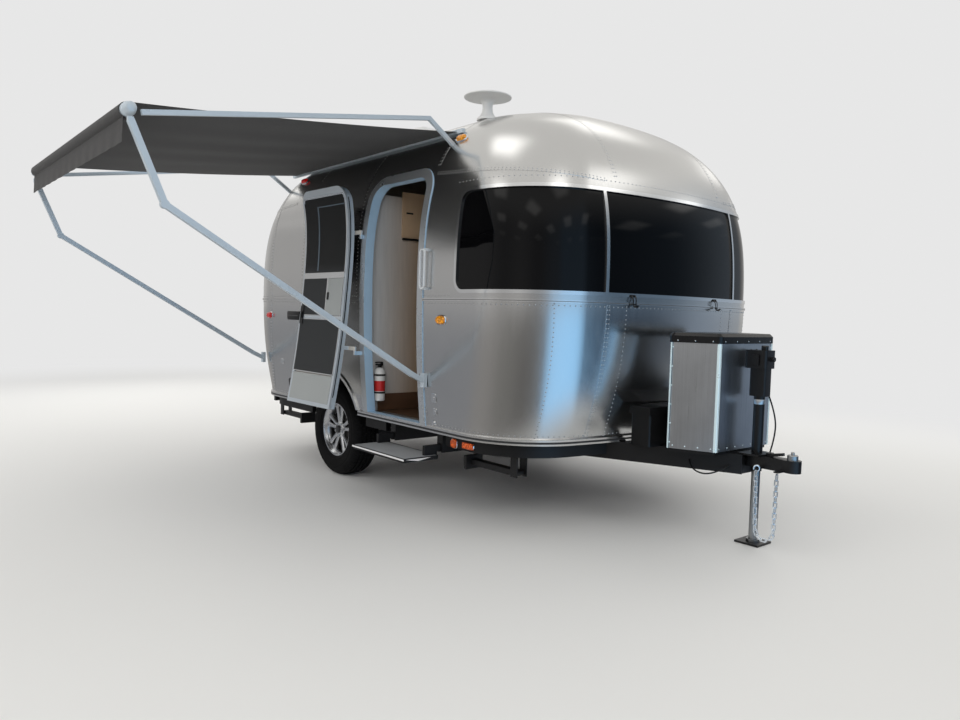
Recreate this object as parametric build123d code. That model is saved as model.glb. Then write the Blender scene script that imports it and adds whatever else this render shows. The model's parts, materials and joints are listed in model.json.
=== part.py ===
# Travel caravan with a riveted aluminium body, a wrap-around front window, an open
# entrance door, a roll-out awning and an A-frame drawbar standing on its jack.
# Millimetres. X points forward to the coupler, Y to the street side, Z up.
# Sizes are worked out above the ground; each node is written with its origin at the
# centre of the coupler's ball socket.
import math
import os

from build123d import *

os.makedirs("parts", exist_ok=True)

# Driving heights and lengths of the body
BALL_HEIGHT = 480.0
FLOOR_Z = 560.0
BELT_Z = 1385.0
ROOF_Z = 2708.0
FRONT_X = -791.0
REAR_X = -4882.0
HALF_WIDTH = 1215.0
WALL = 45.0

# Plan of the body: corner radius, bow of the ends, and how far it draws in below the belt
CORNER_R = 530.0
BOW_R = 4000.0
SIDE_TUCK = 45.0
FRONT_TUCK = 150.0
REAR_TUCK = 122.0

# Dome above the belt: how far each end leans in, and how square each curve is
FRONT_REACH = 1303.0
REAR_REACH = 1017.0
SIDE_POWER = 3.17
FRONT_POWER = 2.96
REAR_POWER = 2.48
LEVEL_SHARES = (0.19, 0.37, 0.54, 0.69, 0.81, 0.895, 0.95, 0.985)

# Seams between the panels
REAR_SEAM_X = -4230.0
ROOF_SEAM_Z = 2440.0

# Floor and chassis
DECK_THICK = 35.0
RAIL_HEIGHT = 115.0
RAIL_WIDTH = 50.0
RAIL_Y = 600.0
AFRAME_BEND_X = -1560.0
COUPLER_REAR_X = -330.0
RUB_RAIL_PROUD = 14.0
RUB_RAIL_HEIGHT = 34.0
SKIRT_HEIGHT = 85.0
SKIRT_THICK = 40.0
SKIRT_INSET = 60.0
BUMPER_REACH = 95.0

# Wheels and axle
AXLE_X = -3200.0
TYRE_R = 357.0
TYRE_WIDTH = 225.0
RIM_R = 203.0
RIM_WALL = 9.0
TRACK_Y = 1035.0
HUB_R = 62.0
SPINDLE_R = 20.0
SPINDLE_GAP = 0.3
ARCH_R = 430.0
ARCH_Z = 400.0
WELL_THICK = 8.0
WELL_INNER_Y = 790.0

# Front window, side windows and rear window: edges of the cut in the shell
WRAP_END_X = -1590.0
FRONT_GLASS_Z = (1425.0, 2065.0)
MULLION_Y = (660.0, 645.0)
FRAME_WIDTH = 22.0
FRAME_PROUD = 5.0
FRAME_DEPTH = 30.0
GLASS_INSET = 6.0
GLASS_THICK = 6.0
WINDOW_CORNER = 85.0
STREET_WINDOWS = (  # rear x, front x, sill z, head z
    (-3000.0, -2150.0, 1490.0, 2010.0),
    (-4130.0, -3450.0, 1490.0, 2010.0),
)
CURB_WINDOWS = ((-3560.0, -2960.0, 1490.0, 2010.0),)
REAR_WINDOW = (560.0, 1490.0, 2000.0)  # half width, sill z, head z

# Door in the curb side
DOOR_REAR_X = -2680.0
DOOR_FRONT_X = -1940.0
FRONT_SEAM_X = DOOR_FRONT_X
DOOR_HEAD_Z = 2235.0
DOOR_CORNER = 150.0
DOOR_FRAME_WIDTH = 38.0
DOOR_FRAME_DEPTH = 62.0
DOOR_FRAME_PROUD = 6.0
DOOR_FLANGE = 26.0
DOOR_GAP = 8.0
DOOR_SWING_GAP = 16.0
DOOR_THICK = 32.0
DOOR_SILL = 6.0
SCREEN_DOOR_THICK = 16.0
SCREEN_DOOR_BORDER = 34.0
SCREEN_THICK = 3.0
DOOR_OPEN_ANGLE = 178.0
HINGE_X = -2690.0
HINGE_STAND = 30.0
HINGE_LEAN = 0.045
HINGE_HEIGHTS = (1010.0, 1850.0)
KNUCKLE_R = 11.0
KNUCKLE_LENGTH = 30.0
PIN_GAP = 0.3
DOOR_LIGHTS = (  # low z, high z of each opening in the screen door
    (775.0, 1190.0),
    (1250.0, 1575.0),
    (1640.0, 2130.0),
)

# Tongue jack, coupler and the cover of the gas bottles
JACK_X = -225.0
JACK_HEAD_Z = (868.0, 1030.0, 1135.0)
JACK_TUBE_R = 31.0
JACK_LEG_R = 25.0
JACK_GAP = 1.0
JACK_TRAVEL = 320.0
COVER_Z = (545.0, 1168.0, 1225.0)  # foot, underside of the lid, top of the lid
COVER_CORNERS = ((-318.0, 280.0), (-580.0, 380.0), (-670.0, 260.0))
BATTERY_X = (-858.0, -712.0)
BATTERY_Y = 380.0
BATTERY_TOP_Z = 755.0
BALL_R = 29.7
COUPLER_WIDTH = 78.0

# Awning on the curb side
AWNING_X = (-4390.0, -1890.0)
AWNING_RAIL_Z = 2505.0
ROLLER_Y = -3000.0
ROLLER_Z = 2262.0
ROLLER_R = 38.0
ARM_FOOT_Z = 862.0
ARM_SIZE = 32.0
RAFTER_BEND = (-1216.0, 2535.0)
RAFTER_FOOT_Z = 2399.0
FABRIC_THICK = 4.0
FABRIC_SAG = 15.0
VALANCE_DROP = 150.0
SOFT_GAP = 0.3
SEAT_GAP = 0.3
BOARD = 18.0

# Chain under the coupler and the two cables of the drawbar
LINK_INNER = 32.0
LINK_WIRE = 6.0
LINK_WIDTH = 25.0
LINK_GAP = 0.9
CHAIN_LOW_Z = 58.0
CHAIN_ROUTE = ((-171, -94, 450), (-160, -94, 112), (-104, -94, CHAIN_LOW_Z), (-48, -94, 112), (-44, -94, 450))
CABLE_R = 4.5
JACK_CABLE = ((-185, 36, 866), (-160, 62, 775), (-158, 84, 650), (-180, 66, 537))
TOW_CABLE = ((-540, -210.4, 462), (-500, -252, 425), (-420, -245, 398), (-350, -195, 420), (-322, -123.4, 455))

# Lamps: x, z and the tilt of the lens in degrees
LAMP_SIZE = (84.0, 46.0)
LAMP_DEPTH = 24.0
LAMP_BURY = 12.0
AMBER_LAMPS = ((-1714.0, 1257.0, 0.0), (-1830.0, 2425.0, 50.0))
RED_LAMPS = ((-4247.0, 1244.0, 0.0), (-4010.0, 2400.0, 50.0))
SKIRT_LAMPS = ((-1677.0, 472.0, 56.0), (-1534.0, 475.0, 100.0))  # x, z, length of the lens
SERVICE_HATCHES = (((-2850.0, -2400.0), (680.0, 1060.0)), ((-4420.0, -3900.0), (900.0, 1200.0)))  # x, z
TAIL_LAMP = (640.0, 860.0, 940.0, 1110.0)  # inner y, outer y, low z, high z

# Roof fittings
ANTENNA = (-2100.0, -560.0, 2830.0)
COOLER_TOP_Z = 2890.0

# Entry step, stabiliser legs and their travel
STEP_X = (-2450.0, -1810.0)
STEP_Y = (-1410.0, -1130.0)
STEP_Z = 350.0
STEP_TRAVEL = 260.0
TREAD_THICK = 25.0
LEG_LENGTH = 440.0
LEG_PIVOT_Z = 325.0
LEG_WIDTH = 60.0
LEG_HEIGHT = 36.0
LEG_ANGLE = 38.0
LEG_STATIONS = (  # name, pivot x, side of the body, direction the stowed leg points
    ("front_curb", -1290.0, -1, -1),
    ("front_street", -1290.0, 1, -1),
    ("rear_curb", -4560.0, -1, 1),
    ("rear_street", -4560.0, 1, 1),
)
LEG_Y = 905.0

FAR = 6000.0
nodes = {}


def keep(name, shape):
    """Store a node, whatever number of solids it holds."""
    nodes[name] = shape


def block(x, y, z):
    """Box between two x, two y and two z values."""
    size = (abs(x[1] - x[0]), abs(y[1] - y[0]), abs(z[1] - z[0]))
    middle = ((x[0] + x[1]) / 2, (y[0] + y[1]) / 2, (z[0] + z[1]) / 2)
    return Pos(*middle) * Box(*size)


def rod(start, end, radius, inner=0.0):
    """Round bar or tube between two points."""
    start, end = Vector(*start), Vector(*end)
    plane = Plane(origin=start, z_dir=end - start)
    length = (end - start).length
    bar = plane * Pos(0, 0, length / 2) * Cylinder(radius, length)
    if inner:
        bar -= plane * Pos(0, 0, length / 2) * Cylinder(inner, length + 2)
    return bar


def bar(start, end, width, height):
    """Square bar between two points, its height kept as near to vertical as it goes."""
    start, end = Vector(*start), Vector(*end)
    along = (end - start).normalized()
    across = along.cross(Vector(0, 0, 1)).normalized()
    plane = Plane(origin=start, x_dir=across, z_dir=along)
    length = (end - start).length
    return plane * Pos(0, 0, length / 2) * Box(width, height, length)


def joined(shapes):
    """Fuse a list of shapes into one."""
    result = shapes[0]
    for shape in shapes[1:]:
        result += shape
    return result


def group(shapes):
    """Keep separate solids of one node together without fusing them."""
    solids = []
    for shape in shapes:
        solids += list(shape.solids())
    return Compound(solids)


# Body form
def drawn_in(share, power):
    return 1 - (1 - min(share, 1.0) ** power) ** (1 / power)


def body_size(z, inset=0.0):
    """Half width, front x and rear x of the body at height z, drawn in by inset."""
    half, front, rear = HALF_WIDTH - inset, FRONT_X - inset, REAR_X + inset
    if z >= BELT_Z:
        share = (z - BELT_Z) / (ROOF_Z - inset - BELT_Z)
        half *= 1 - drawn_in(share, SIDE_POWER)
        front -= (FRONT_REACH - inset) * drawn_in(share, FRONT_POWER)
        rear += (REAR_REACH - inset) * drawn_in(share, REAR_POWER)
    else:
        share = ((BELT_Z - z) / (BELT_Z - FLOOR_Z)) ** 2
        half -= SIDE_TUCK * share
        front -= FRONT_TUCK * share
        rear += REAR_TUCK * share
    return half, front, rear


def outline(z, inset=0.0):
    """Closed plan outline at height z: straight sides, round corners and bowed ends."""
    half, front, rear = body_size(z, inset)
    corner = min(CORNER_R - inset, 0.98 * half)
    bow = BOW_R * half / HALF_WIDTH
    reach = math.sqrt((bow - corner) ** 2 - (half - corner) ** 2)
    lean = math.atan2(half - corner, reach)
    middle = (lean + math.pi / 2) / 2

    def end_points(tip, way):
        centre = tip - way * (bow - reach)
        side = (centre, half)
        turn = (centre + way * corner * math.cos(middle), half - corner + corner * math.sin(middle))
        bowed = (tip - way * bow * (1 - math.cos(lean)), bow * math.sin(lean))
        return side, turn, bowed

    front_side, front_turn, front_bow = end_points(front, 1)
    rear_side, rear_turn, rear_bow = end_points(rear, -1)

    def at(point, side):
        return (point[0], side * point[1], z)

    arc = Edge.make_three_point_arc
    return Wire([
        Edge.make_line(at(rear_side, -1), at(front_side, -1)),
        arc(at(front_side, -1), at(front_turn, -1), at(front_bow, -1)),
        arc(at(front_bow, -1), (front, 0, z), at(front_bow, 1)),
        arc(at(front_bow, 1), at(front_turn, 1), at(front_side, 1)),
        Edge.make_line(at(front_side, 1), at(rear_side, 1)),
        arc(at(rear_side, 1), at(rear_turn, 1), at(rear_bow, 1)),
        arc(at(rear_bow, 1), (rear, 0, z), at(rear_bow, -1)),
        arc(at(rear_bow, -1), at(rear_turn, -1), at(rear_side, -1)),
    ])


solids_by_inset = {}


def body_solid(inset=0.0):
    """Solid body drawn in by inset; its sections are evenly spaced along the wall."""
    if inset not in solids_by_inset:
        lower = [FLOOR_Z + (BELT_Z - FLOOR_Z) * share for share in (0, 1 / 3, 2 / 3, 1)]
        rise = ROOF_Z - inset - BELT_Z
        levels = lower + [BELT_Z + rise * share for share in LEVEL_SHARES]
        solids_by_inset[inset] = Solid.make_loft([outline(z, inset) for z in levels], False)
    return solids_by_inset[inset]


def band(outer, inner, region):
    """Part of the wall between two insets that lies in a region."""
    return (body_solid(outer) & region) - body_solid(inner)


def side_prism(x, z, side, corner, sill=False, inset=0.0):
    """Rounded rectangle seen from the side, cut right through one wall."""
    low, high = x[0] + inset, x[1] - inset
    bottom, top = z[0] + (0 if sill else inset), z[1] - inset
    face = Plane.XZ * Pos((low + high) / 2, (bottom + top) / 2) * Rectangle(high - low, top - bottom)
    prism = Pos(0, side * 1000, 0) * extrude(face, 500, both=True)
    edges = prism.edges().filter_by(Axis.Y)
    if sill:
        edges = edges.filter_by(lambda edge: edge.center().Z > (bottom + top) / 2)
    return fillet(edges, corner - inset)


def front_prism(inset=0.0):
    """Letter-box cut of the wrap-around front window, seen from the side."""
    low, high = WRAP_END_X + inset, 0.0
    bottom, top = FRONT_GLASS_Z[0] + inset, FRONT_GLASS_Z[1] - inset
    prism = extrude(
        Plane.XZ * Pos((low + high) / 2, (bottom + top) / 2) * Rectangle(high - low, top - bottom),
        1500, both=True)
    edges = prism.edges().filter_by(Axis.Y).filter_by(lambda edge: edge.center().X < low + 1)
    return fillet(edges, WINDOW_CORNER - inset)


def rear_prism(inset=0.0):
    half, bottom, top = REAR_WINDOW[0] - inset, REAR_WINDOW[1] + inset, REAR_WINDOW[2] - inset
    prism = block((REAR_X - 100, REAR_X + 900), (-half, half), (bottom, top))
    return fillet(prism.edges().filter_by(Axis.X), WINDOW_CORNER - inset)


window_prisms = {
    "street": [lambda i, w=w: side_prism(w[:2], w[2:], 1, WINDOW_CORNER, inset=i) for w in STREET_WINDOWS],
    "curb": [lambda i, w=w: side_prism(w[:2], w[2:], -1, WINDOW_CORNER, inset=i) for w in CURB_WINDOWS],
    "rear": [rear_prism],
}
arches = [
    Pos(AXLE_X, side * 1100, ARCH_Z) * Rot(90, 0, 0) * Cylinder(ARCH_R, 2 * (1100 - WELL_INNER_Y))
    for side in (-1, 1)
]


def door_prism(inset=0.0, swing=0.0):
    """Door opening from the floor up; swing is the extra gap on the latch side."""
    return side_prism((DOOR_REAR_X, DOOR_FRONT_X - swing), (FLOOR_Z, DOOR_HEAD_Z), -1,
                      DOOR_CORNER, sill=True, inset=inset)


# Body panels: one shell, split at the belt and at the riveted seams
body_outer = body_solid()
body_inner = body_solid(WALL)
openings = [prism(0.0) for prisms in window_prisms.values() for prism in prisms]
openings += [front_prism(), door_prism()] + arches

fore = (FRONT_SEAM_X, FAR)
midships = (REAR_SEAM_X, FRONT_SEAM_X)
aft = (-FAR, REAR_SEAM_X)
PANELS = (  # name, x range, y range, z range
    ("lower_front_panel", fore, (-FAR, FAR), (0, BELT_Z)),
    ("lower_curb_panel", midships, (-FAR, 0), (0, BELT_Z)),
    ("lower_street_panel", midships, (0, FAR), (0, BELT_Z)),
    ("lower_rear_panel", aft, (-FAR, FAR), (0, BELT_Z)),
    ("front_dome", fore, (-FAR, FAR), (BELT_Z, FAR)),
    ("upper_curb_panel", midships, (-FAR, 0), (BELT_Z, ROOF_SEAM_Z)),
    ("upper_street_panel", midships, (0, FAR), (BELT_Z, ROOF_SEAM_Z)),
    ("rear_dome", aft, (-FAR, FAR), (BELT_Z, FAR)),
    ("roof_panel", midships, (-FAR, FAR), (ROOF_SEAM_Z, FAR)),
)
for name, x, y, z in PANELS:
    region = block(x, y, z)
    panel = band(0.0, WALL, region)
    for opening in openings:
        if (opening & region) is not None:
            panel -= opening
    keep(name, panel)

# Belt moulding and rub rail round the body
belt = band(-8.0, -SEAT_GAP, block((-FAR, FAR), (-FAR, FAR), (BELT_Z - 9, BELT_Z + 9)))
belt -= block((DOOR_REAR_X - DOOR_FLANGE - 2, DOOR_FRONT_X + DOOR_FLANGE + 2), (-FAR, 0),
              (BELT_Z - 10, BELT_Z + 10))

# Floor deck under the walls, cut out for the wheels
wheel_cuts = [
    block((AXLE_X - ARCH_R, AXLE_X + ARCH_R), (side * WELL_INNER_Y, side * 1400), (0, FLOOR_Z + 1))
    for side in (-1, 1)
]
deck_z = FLOOR_Z - DECK_THICK
deck = extrude(make_face(outline(FLOOR_Z)), -DECK_THICK)
rub = extrude(make_face(outline(FLOOR_Z, -RUB_RAIL_PROUD)), -RUB_RAIL_HEIGHT)
rub -= extrude(make_face(outline(FLOOR_Z, -SEAT_GAP)), -RUB_RAIL_HEIGHT)
for cut in wheel_cuts:
    deck -= cut
    rub -= cut
keep("floor_deck", deck)
keep("rub_rail", rub)

# Wheel wells: a half drum and a side plate inside the body
wells = []
for side in (-1, 1):
    length = 1400 - WELL_INNER_Y
    middle = side * (WELL_INNER_Y + length / 2)
    turn = Pos(AXLE_X, middle, ARCH_Z) * Rot(90, 0, 0)
    drum = turn * Cylinder(ARCH_R + WELL_THICK, length) - turn * Cylinder(ARCH_R, length + 2)
    plate_y = side * (WELL_INNER_Y - WELL_THICK / 2)
    drum += Pos(AXLE_X, plate_y, ARCH_Z) * Rot(90, 0, 0) * Cylinder(ARCH_R + WELL_THICK, WELL_THICK)
    drum &= block((-FAR, FAR), (-FAR, FAR), (FLOOR_Z, FAR))
    wells.append(drum & body_inner)
keep("wheel_wells", group(wells))

# Chassis: ladder frame, converging A-frame, outriggers, stabiliser brackets and bottle tray
def cover_face(grow):
    """Plan of the gas bottle cover, six-sided, grown outwards by some millimetres."""
    corners = list(COVER_CORNERS) + [(x, -y) for x, y in reversed(COVER_CORNERS)]
    return offset(make_face(Polyline(*corners, close=True)), grow, kind=Kind.INTERSECTION)


rail_z = (deck_z - RAIL_HEIGHT, deck_z)
rail_mid = sum(rail_z) / 2
frame_parts = []
for side in (-1, 1):
    y = side * RAIL_Y
    frame_parts.append(block((REAR_X + 160, AFRAME_BEND_X),
                             (y - RAIL_WIDTH / 2, y + RAIL_WIDTH / 2), rail_z))
    nose_y = side * (COUPLER_WIDTH / 2 + 32)
    frame_parts.append(bar((AFRAME_BEND_X - 20, y, rail_mid), (COUPLER_REAR_X + 60, nose_y, rail_mid),
                           RAIL_WIDTH, RAIL_HEIGHT))
for x in (REAR_X + 185, -4150.0, -3650.0, -2500.0, AFRAME_BEND_X - 30, -2000.0):
    frame_parts.append(block((x - 25, x + 25), (-RAIL_Y, RAIL_Y), (rail_z[0] + 20, rail_z[1])))
for x in (-4450.0, -2560.0, -1700.0):
    reach = body_size(FLOOR_Z)[0] - SKIRT_INSET - SKIRT_THICK
    frame_parts.append(block((x - 20, x + 20), (-reach, reach), (deck_z - 70, deck_z)))
frame_parts.append(block((COUPLER_REAR_X - 20, COUPLER_REAR_X + 60),
                         (-COUPLER_WIDTH / 2 - 32, COUPLER_WIDTH / 2 + 32), rail_z))
for name, x, side, way in LEG_STATIONS:
    y = side * LEG_Y
    for cheek in (-1, 1):
        cheek_y = y + cheek * (LEG_WIDTH / 2 + 9)
        frame_parts.append(block((x - 30, x + 30), (cheek_y - 4, cheek_y + 4),
                                 (LEG_PIVOT_Z - 22, deck_z)))
    frame_parts.append(block((x - 30, x + 30), (y - LEG_WIDTH / 2 - 13, y + LEG_WIDTH / 2 + 13),
                             (deck_z - 70, deck_z)))
    rail_here = RAIL_Y if x < AFRAME_BEND_X else RAIL_Y - 170
    frame_parts.append(block((x - 30, x + 30), (side * rail_here, y), (deck_z - 70, deck_z)))
    frame_parts.append(rod((x, y - LEG_WIDTH / 2 - 10, LEG_PIVOT_Z),
                           (x, y + LEG_WIDTH / 2 + 10, LEG_PIVOT_Z), 8))
frame_parts.append(Pos(0, 0, deck_z) * extrude(cover_face(-15), COVER_Z[0] - deck_z))
chassis = joined(frame_parts)

# Black skirt under the edge of the floor, open at the wheels, the drawbar and the step
skirt = extrude(make_face(outline(FLOOR_Z, SKIRT_INSET)), -DECK_THICK - SKIRT_HEIGHT)
skirt -= extrude(make_face(outline(FLOOR_Z, SKIRT_INSET + SKIRT_THICK)), -DECK_THICK - SKIRT_HEIGHT)
skirt &= block((-FAR, FAR), (-FAR, FAR), (0, deck_z))
for cut in wheel_cuts:
    skirt -= cut
skirt -= block((STEP_X[0] - 40, STEP_X[1] + 40), (-1400, 0), (0, deck_z + 1))
for part in frame_parts:
    skirt -= part
keep("side_skirt", group([skirt]))

# Axle: cross tube with trailing arms, spindles and the brackets to the rails
axle_z = TYRE_R
tube_x, tube_z = AXLE_X + 150, TYRE_R - 40
arm_y = TRACK_Y - TYRE_WIDTH / 2 - 55
axle_parts = [bar((tube_x, -arm_y - 20, tube_z), (tube_x, arm_y + 20, tube_z), 76, 76)]
for side in (-1, 1):
    axle_parts.append(bar((tube_x, side * arm_y, tube_z), (AXLE_X, side * arm_y, axle_z), 40, 70))
    axle_parts.append(rod((AXLE_X, side * (arm_y - 20), axle_z), (AXLE_X, side * (arm_y + 20), axle_z), 45))
    axle_parts.append(rod((AXLE_X, side * arm_y, axle_z),
                          (AXLE_X, side * (TRACK_Y + 10), axle_z), SPINDLE_R))
    axle_parts.append(block((tube_x - 60, tube_x + 60), (side * RAIL_Y - 30, side * RAIL_Y + 30),
                            (tube_z, rail_z[0])))
keep("axle", joined(axle_parts))

# Wheels: cast rim with five pairs of spokes, brake drum, hub and a tyre
def wheel(side):
    """One wheel, its outer face towards side; returns the rim and the tyre."""
    half = TYRE_WIDTH / 2
    rim_half = half - 22
    profile = Plane.XZ * make_face(Polyline(
        (RIM_R - 22, -rim_half + 18), (RIM_R - 22, rim_half - 18), (RIM_R + 6, rim_half - 6),
        (RIM_R + 6, rim_half), (RIM_R - 6, rim_half), (RIM_R - 22 - RIM_WALL, rim_half - 20),
        (RIM_R - 22 - RIM_WALL, -rim_half + 20), (RIM_R - 6, -rim_half), (RIM_R + 6, -rim_half),
        (RIM_R + 6, -rim_half + 6), close=True))
    rim = revolve(profile, Axis.Z)
    face_z = rim_half - 34
    spoke = make_face(Polyline((30, -26), (RIM_R - 25, -20), (RIM_R - 25, 20), (30, 26), close=True))
    spoke = extrude(spoke, 26) - Pos(100, 0, 16) * Box(120, 9, 24)
    for i in range(5):
        rim += Rot(0, 0, 90 + 72 * i) * Pos(0, 0, face_z - 26) * spoke
    rim += Pos(0, 0, face_z - 20) * Cylinder(HUB_R, 44)
    rim += Pos(0, 0, face_z + 8) * Cylinder(30, 24)
    drum_low, drum_high = -half + 40, face_z - 35
    rim += Pos(0, 0, (drum_low + drum_high) / 2) * Cylinder(140, drum_high - drum_low)
    bore_low, bore_high = drum_low - 1, 16.0
    rim -= Pos(0, 0, (bore_low + bore_high) / 2) * Cylinder(SPINDLE_R + SPINDLE_GAP, bore_high - bore_low)
    bead = RIM_R + 6 + SEAT_GAP
    section = Plane.XZ * make_face(
        Polyline((bead, -rim_half), (bead + 12, -rim_half - 8), (bead + 62, -half + 1),
                 (bead + 100, -half + 2), (TYRE_R - 14, -half + 22), (TYRE_R, -half + 42),
                 (TYRE_R, half - 42), (TYRE_R - 14, half - 22), (bead + 100, half - 2),
                 (bead + 62, half - 1), (bead + 12, rim_half + 8), (bead, rim_half), close=True))
    tyre = revolve(section, Axis.Z)
    place = Pos(AXLE_X, side * TRACK_Y, axle_z) * Rot(-90 * side, 0, 0)
    return place * rim, place * tyre


for name, side in (("curb", -1), ("street", 1)):
    rim, tyre = wheel(side)
    keep("rim_" + name, rim)
    keep("tyre_" + name, tyre)

# Arch trims: bright half rings round the wheel openings
trims = []
for side in (-1, 1):
    ring = Pos(AXLE_X, side * 1150, ARCH_Z) * Rot(90, 0, 0) * (
        Cylinder(ARCH_R + 22, 300) - Cylinder(ARCH_R - 3, 302))
    ring &= block((-FAR, FAR), (-FAR, FAR), (FLOOR_Z + 1, FAR))
    trims.append(band(-10.0, -SEAT_GAP, ring))
keep("mouldings", group([belt] + trims))

# Front window: three curved panes in a bright frame with two mullions
def pane(region):
    return band(GLASS_INSET, GLASS_INSET + GLASS_THICK, region)


def surround(region):
    return band(-FRAME_PROUD, FRAME_DEPTH, region)


def mullion(side, width):
    """Upright strip through the front wall, its foot further out than its head."""
    low, high = FRONT_GLASS_Z
    foot, head = side * MULLION_Y[0], side * MULLION_Y[1]
    strip = make_face(Polyline((foot - width / 2, low - 30), (foot + width / 2, low - 30),
                               (head + width / 2, high + 30), (head - width / 2, high + 30), close=True))
    return Pos(-1300, 0, 0) * extrude(Plane.YZ * strip, 1300)


mullions = mullion(-1, FRAME_WIDTH) + mullion(1, FRAME_WIDTH)
wide_mullions = mullion(-1, FRAME_WIDTH + 2 * SEAT_GAP) + mullion(1, FRAME_WIDTH + 2 * SEAT_GAP)
rim_region = front_prism() - front_prism(FRAME_WIDTH)
keep("front_window_frame", surround(rim_region) + surround(mullions & front_prism(FRAME_WIDTH - 1)))
panes = pane(front_prism(FRAME_WIDTH + SEAT_GAP)) - wide_mullions
keep("front_glass", group([panes]))

# Side and rear windows
frames, glasses = [], []
for prisms in window_prisms.values():
    for prism in prisms:
        frames.append(surround(prism(0.0) - prism(FRAME_WIDTH)))
        glasses.append(pane(prism(FRAME_WIDTH + SEAT_GAP)))
keep("window_frames", group(frames))
keep("window_glass", group(glasses))


# Entrance door: frame with hinge brackets, leaf, glass and screen door
def hinge_point(z, out=0.0):
    """Point of the leaning hinge axis at height z."""
    y = -(HALF_WIDTH + HINGE_STAND) + HINGE_LEAN * (z - BELT_Z)
    return Vector(HINGE_X, y - out, z)


def knuckle(z):
    """Short tube round the hinge axis from height z up."""
    return rod(hinge_point(z), hinge_point(z + KNUCKLE_LENGTH), KNUCKLE_R)


door_frame = band(-DOOR_FRAME_PROUD, DOOR_FRAME_DEPTH, door_prism() - door_prism(DOOR_FRAME_WIDTH))
sill = block((DOOR_REAR_X + 20, DOOR_FRONT_X - 20), (-FAR, 0), (FLOOR_Z, FLOOR_Z + DOOR_SILL))
door_frame += band(-DOOR_FRAME_PROUD, DOOR_FRAME_DEPTH, sill)
door_frame += band(-DOOR_FRAME_PROUD, -SEAT_GAP, door_prism(-DOOR_FLANGE) - door_prism(1.0))
for z in HINGE_HEIGHTS:
    axis = hinge_point(z)
    skin = -body_size(z)[0] - 3
    low = z - KNUCKLE_LENGTH - PIN_GAP
    door_frame += block((HINGE_X - 11, HINGE_X + 11), (axis.Y + 6, skin), (low, low + KNUCKLE_LENGTH - 2))
    door_frame += knuckle(low)
keep("door_frame", door_frame)

leaf_inset = DOOR_FRAME_WIDTH + DOOR_GAP
leaf_prism = door_prism(leaf_inset, DOOR_SWING_GAP) & block(
    (-FAR, 0), (-FAR, 0), (FLOOR_Z + DOOR_SILL + DOOR_GAP, FAR))
window_z = DOOR_LIGHTS[2]
light_x = (DOOR_REAR_X + leaf_inset + 60, DOOR_FRONT_X - leaf_inset - DOOR_SWING_GAP - 60)
door_window = side_prism(light_x, window_z, -1, 60)
leaf = band(0.0, DOOR_THICK, leaf_prism) - door_window
for z in HINGE_HEIGHTS:
    axis = hinge_point(z)
    skin = -body_size(z)[0]
    leaf += knuckle(z)
    z_range = (z + 2, z + KNUCKLE_LENGTH)
    reach = DOOR_REAR_X + leaf_inset + 40
    leaf += block((HINGE_X, reach), (axis.Y + 2, axis.Y + 10), z_range)
    leaf += block((reach - 24, reach), (axis.Y + 2, skin + 12), z_range)
screen_x = (DOOR_REAR_X + leaf_inset, DOOR_FRONT_X - leaf_inset - DOOR_SWING_GAP)
screen_frame = band(DOOR_THICK + SEAT_GAP, DOOR_THICK + SCREEN_DOOR_THICK, leaf_prism)
screens = []
for low, high in DOOR_LIGHTS:
    light = (screen_x[0] + SCREEN_DOOR_BORDER, screen_x[1] - SCREEN_DOOR_BORDER)
    screen_frame -= side_prism(light, (low, high), -1, 20)
    screens.append(band(DOOR_THICK + 6, DOOR_THICK + 6 + SCREEN_THICK,
                        side_prism(light, (low, high), -1, 20, inset=SEAT_GAP)))
glass_prism = side_prism(light_x, window_z, -1, 60, inset=SEAT_GAP)
door_glass = band(8.0, 14.0, glass_prism)

hinge_axis = Axis((HINGE_X, -(HALF_WIDTH + HINGE_STAND), BELT_Z), (0, HINGE_LEAN, 1))
DOOR_NODES = (
    ("door_leaf", leaf),
    ("screen_door", screen_frame),
    ("door_screens", group(screens)),
    ("door_glass", door_glass),
)
for name, shape in DOOR_NODES:
    keep(name, shape.rotate(hinge_axis, -DOOR_OPEN_ANGLE))

# Grab loop beside the door
loop_x, loop_z, loop_half, loop_r, loop_bar = -1888.0, 1580.0, 125.0, 24.0, 10.0
loop_y = -(HALF_WIDTH + 26)
loop_plane = Plane(origin=(loop_x, loop_y, loop_z), x_dir=(1, 0, 0), z_dir=(0, -1, 0))
ring = SlotOverall(2 * loop_half + loop_bar, 2 * loop_r + loop_bar, rotation=90)
ring -= SlotOverall(2 * loop_half - loop_bar, 2 * loop_r - loop_bar, rotation=90)
grab = loop_plane * extrude(ring, loop_bar)
for end in (-1, 1):
    z = loop_z + end * loop_half
    skin = -body_size(z)[0] - SEAT_GAP
    grab += block((loop_x - 8, loop_x + 8), (loop_y, skin), (z - 8, z + 8))
keep("grab_loop", grab)

# Coupler: formed plates on the nose of the A-frame, socket for the ball and latch
coupler_low, coupler_high = BALL_HEIGHT - 25, deck_z
coupler_mid = (coupler_low + coupler_high) / 2
nose_height = coupler_high - coupler_low
coupler = block((COUPLER_REAR_X + 60, -48), (-COUPLER_WIDTH / 2, COUPLER_WIDTH / 2),
                (coupler_low, coupler_high))
coupler += Pos(-48, 0, coupler_mid) * Cylinder(COUPLER_WIDTH / 2, nose_height)
coupler += Pos(0, 0, coupler_mid) * Cylinder(44, nose_height)
coupler += block((-48, 0), (-42, 42), (coupler_low, coupler_high))
coupler = fillet(coupler.edges().filter_by(Axis.Z).filter_by(lambda e: e.center().X < -200), 8)
coupler -= Pos(0, 0, BALL_HEIGHT - 5) * Cylinder(BALL_R, 60)
coupler += bar((-150, 0, coupler_high + 6), (-60, 0, coupler_high + 24), 28, 16)
coupler += block((-160, -128), (-12, 12), (coupler_high - 4, coupler_high + 20))
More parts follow.
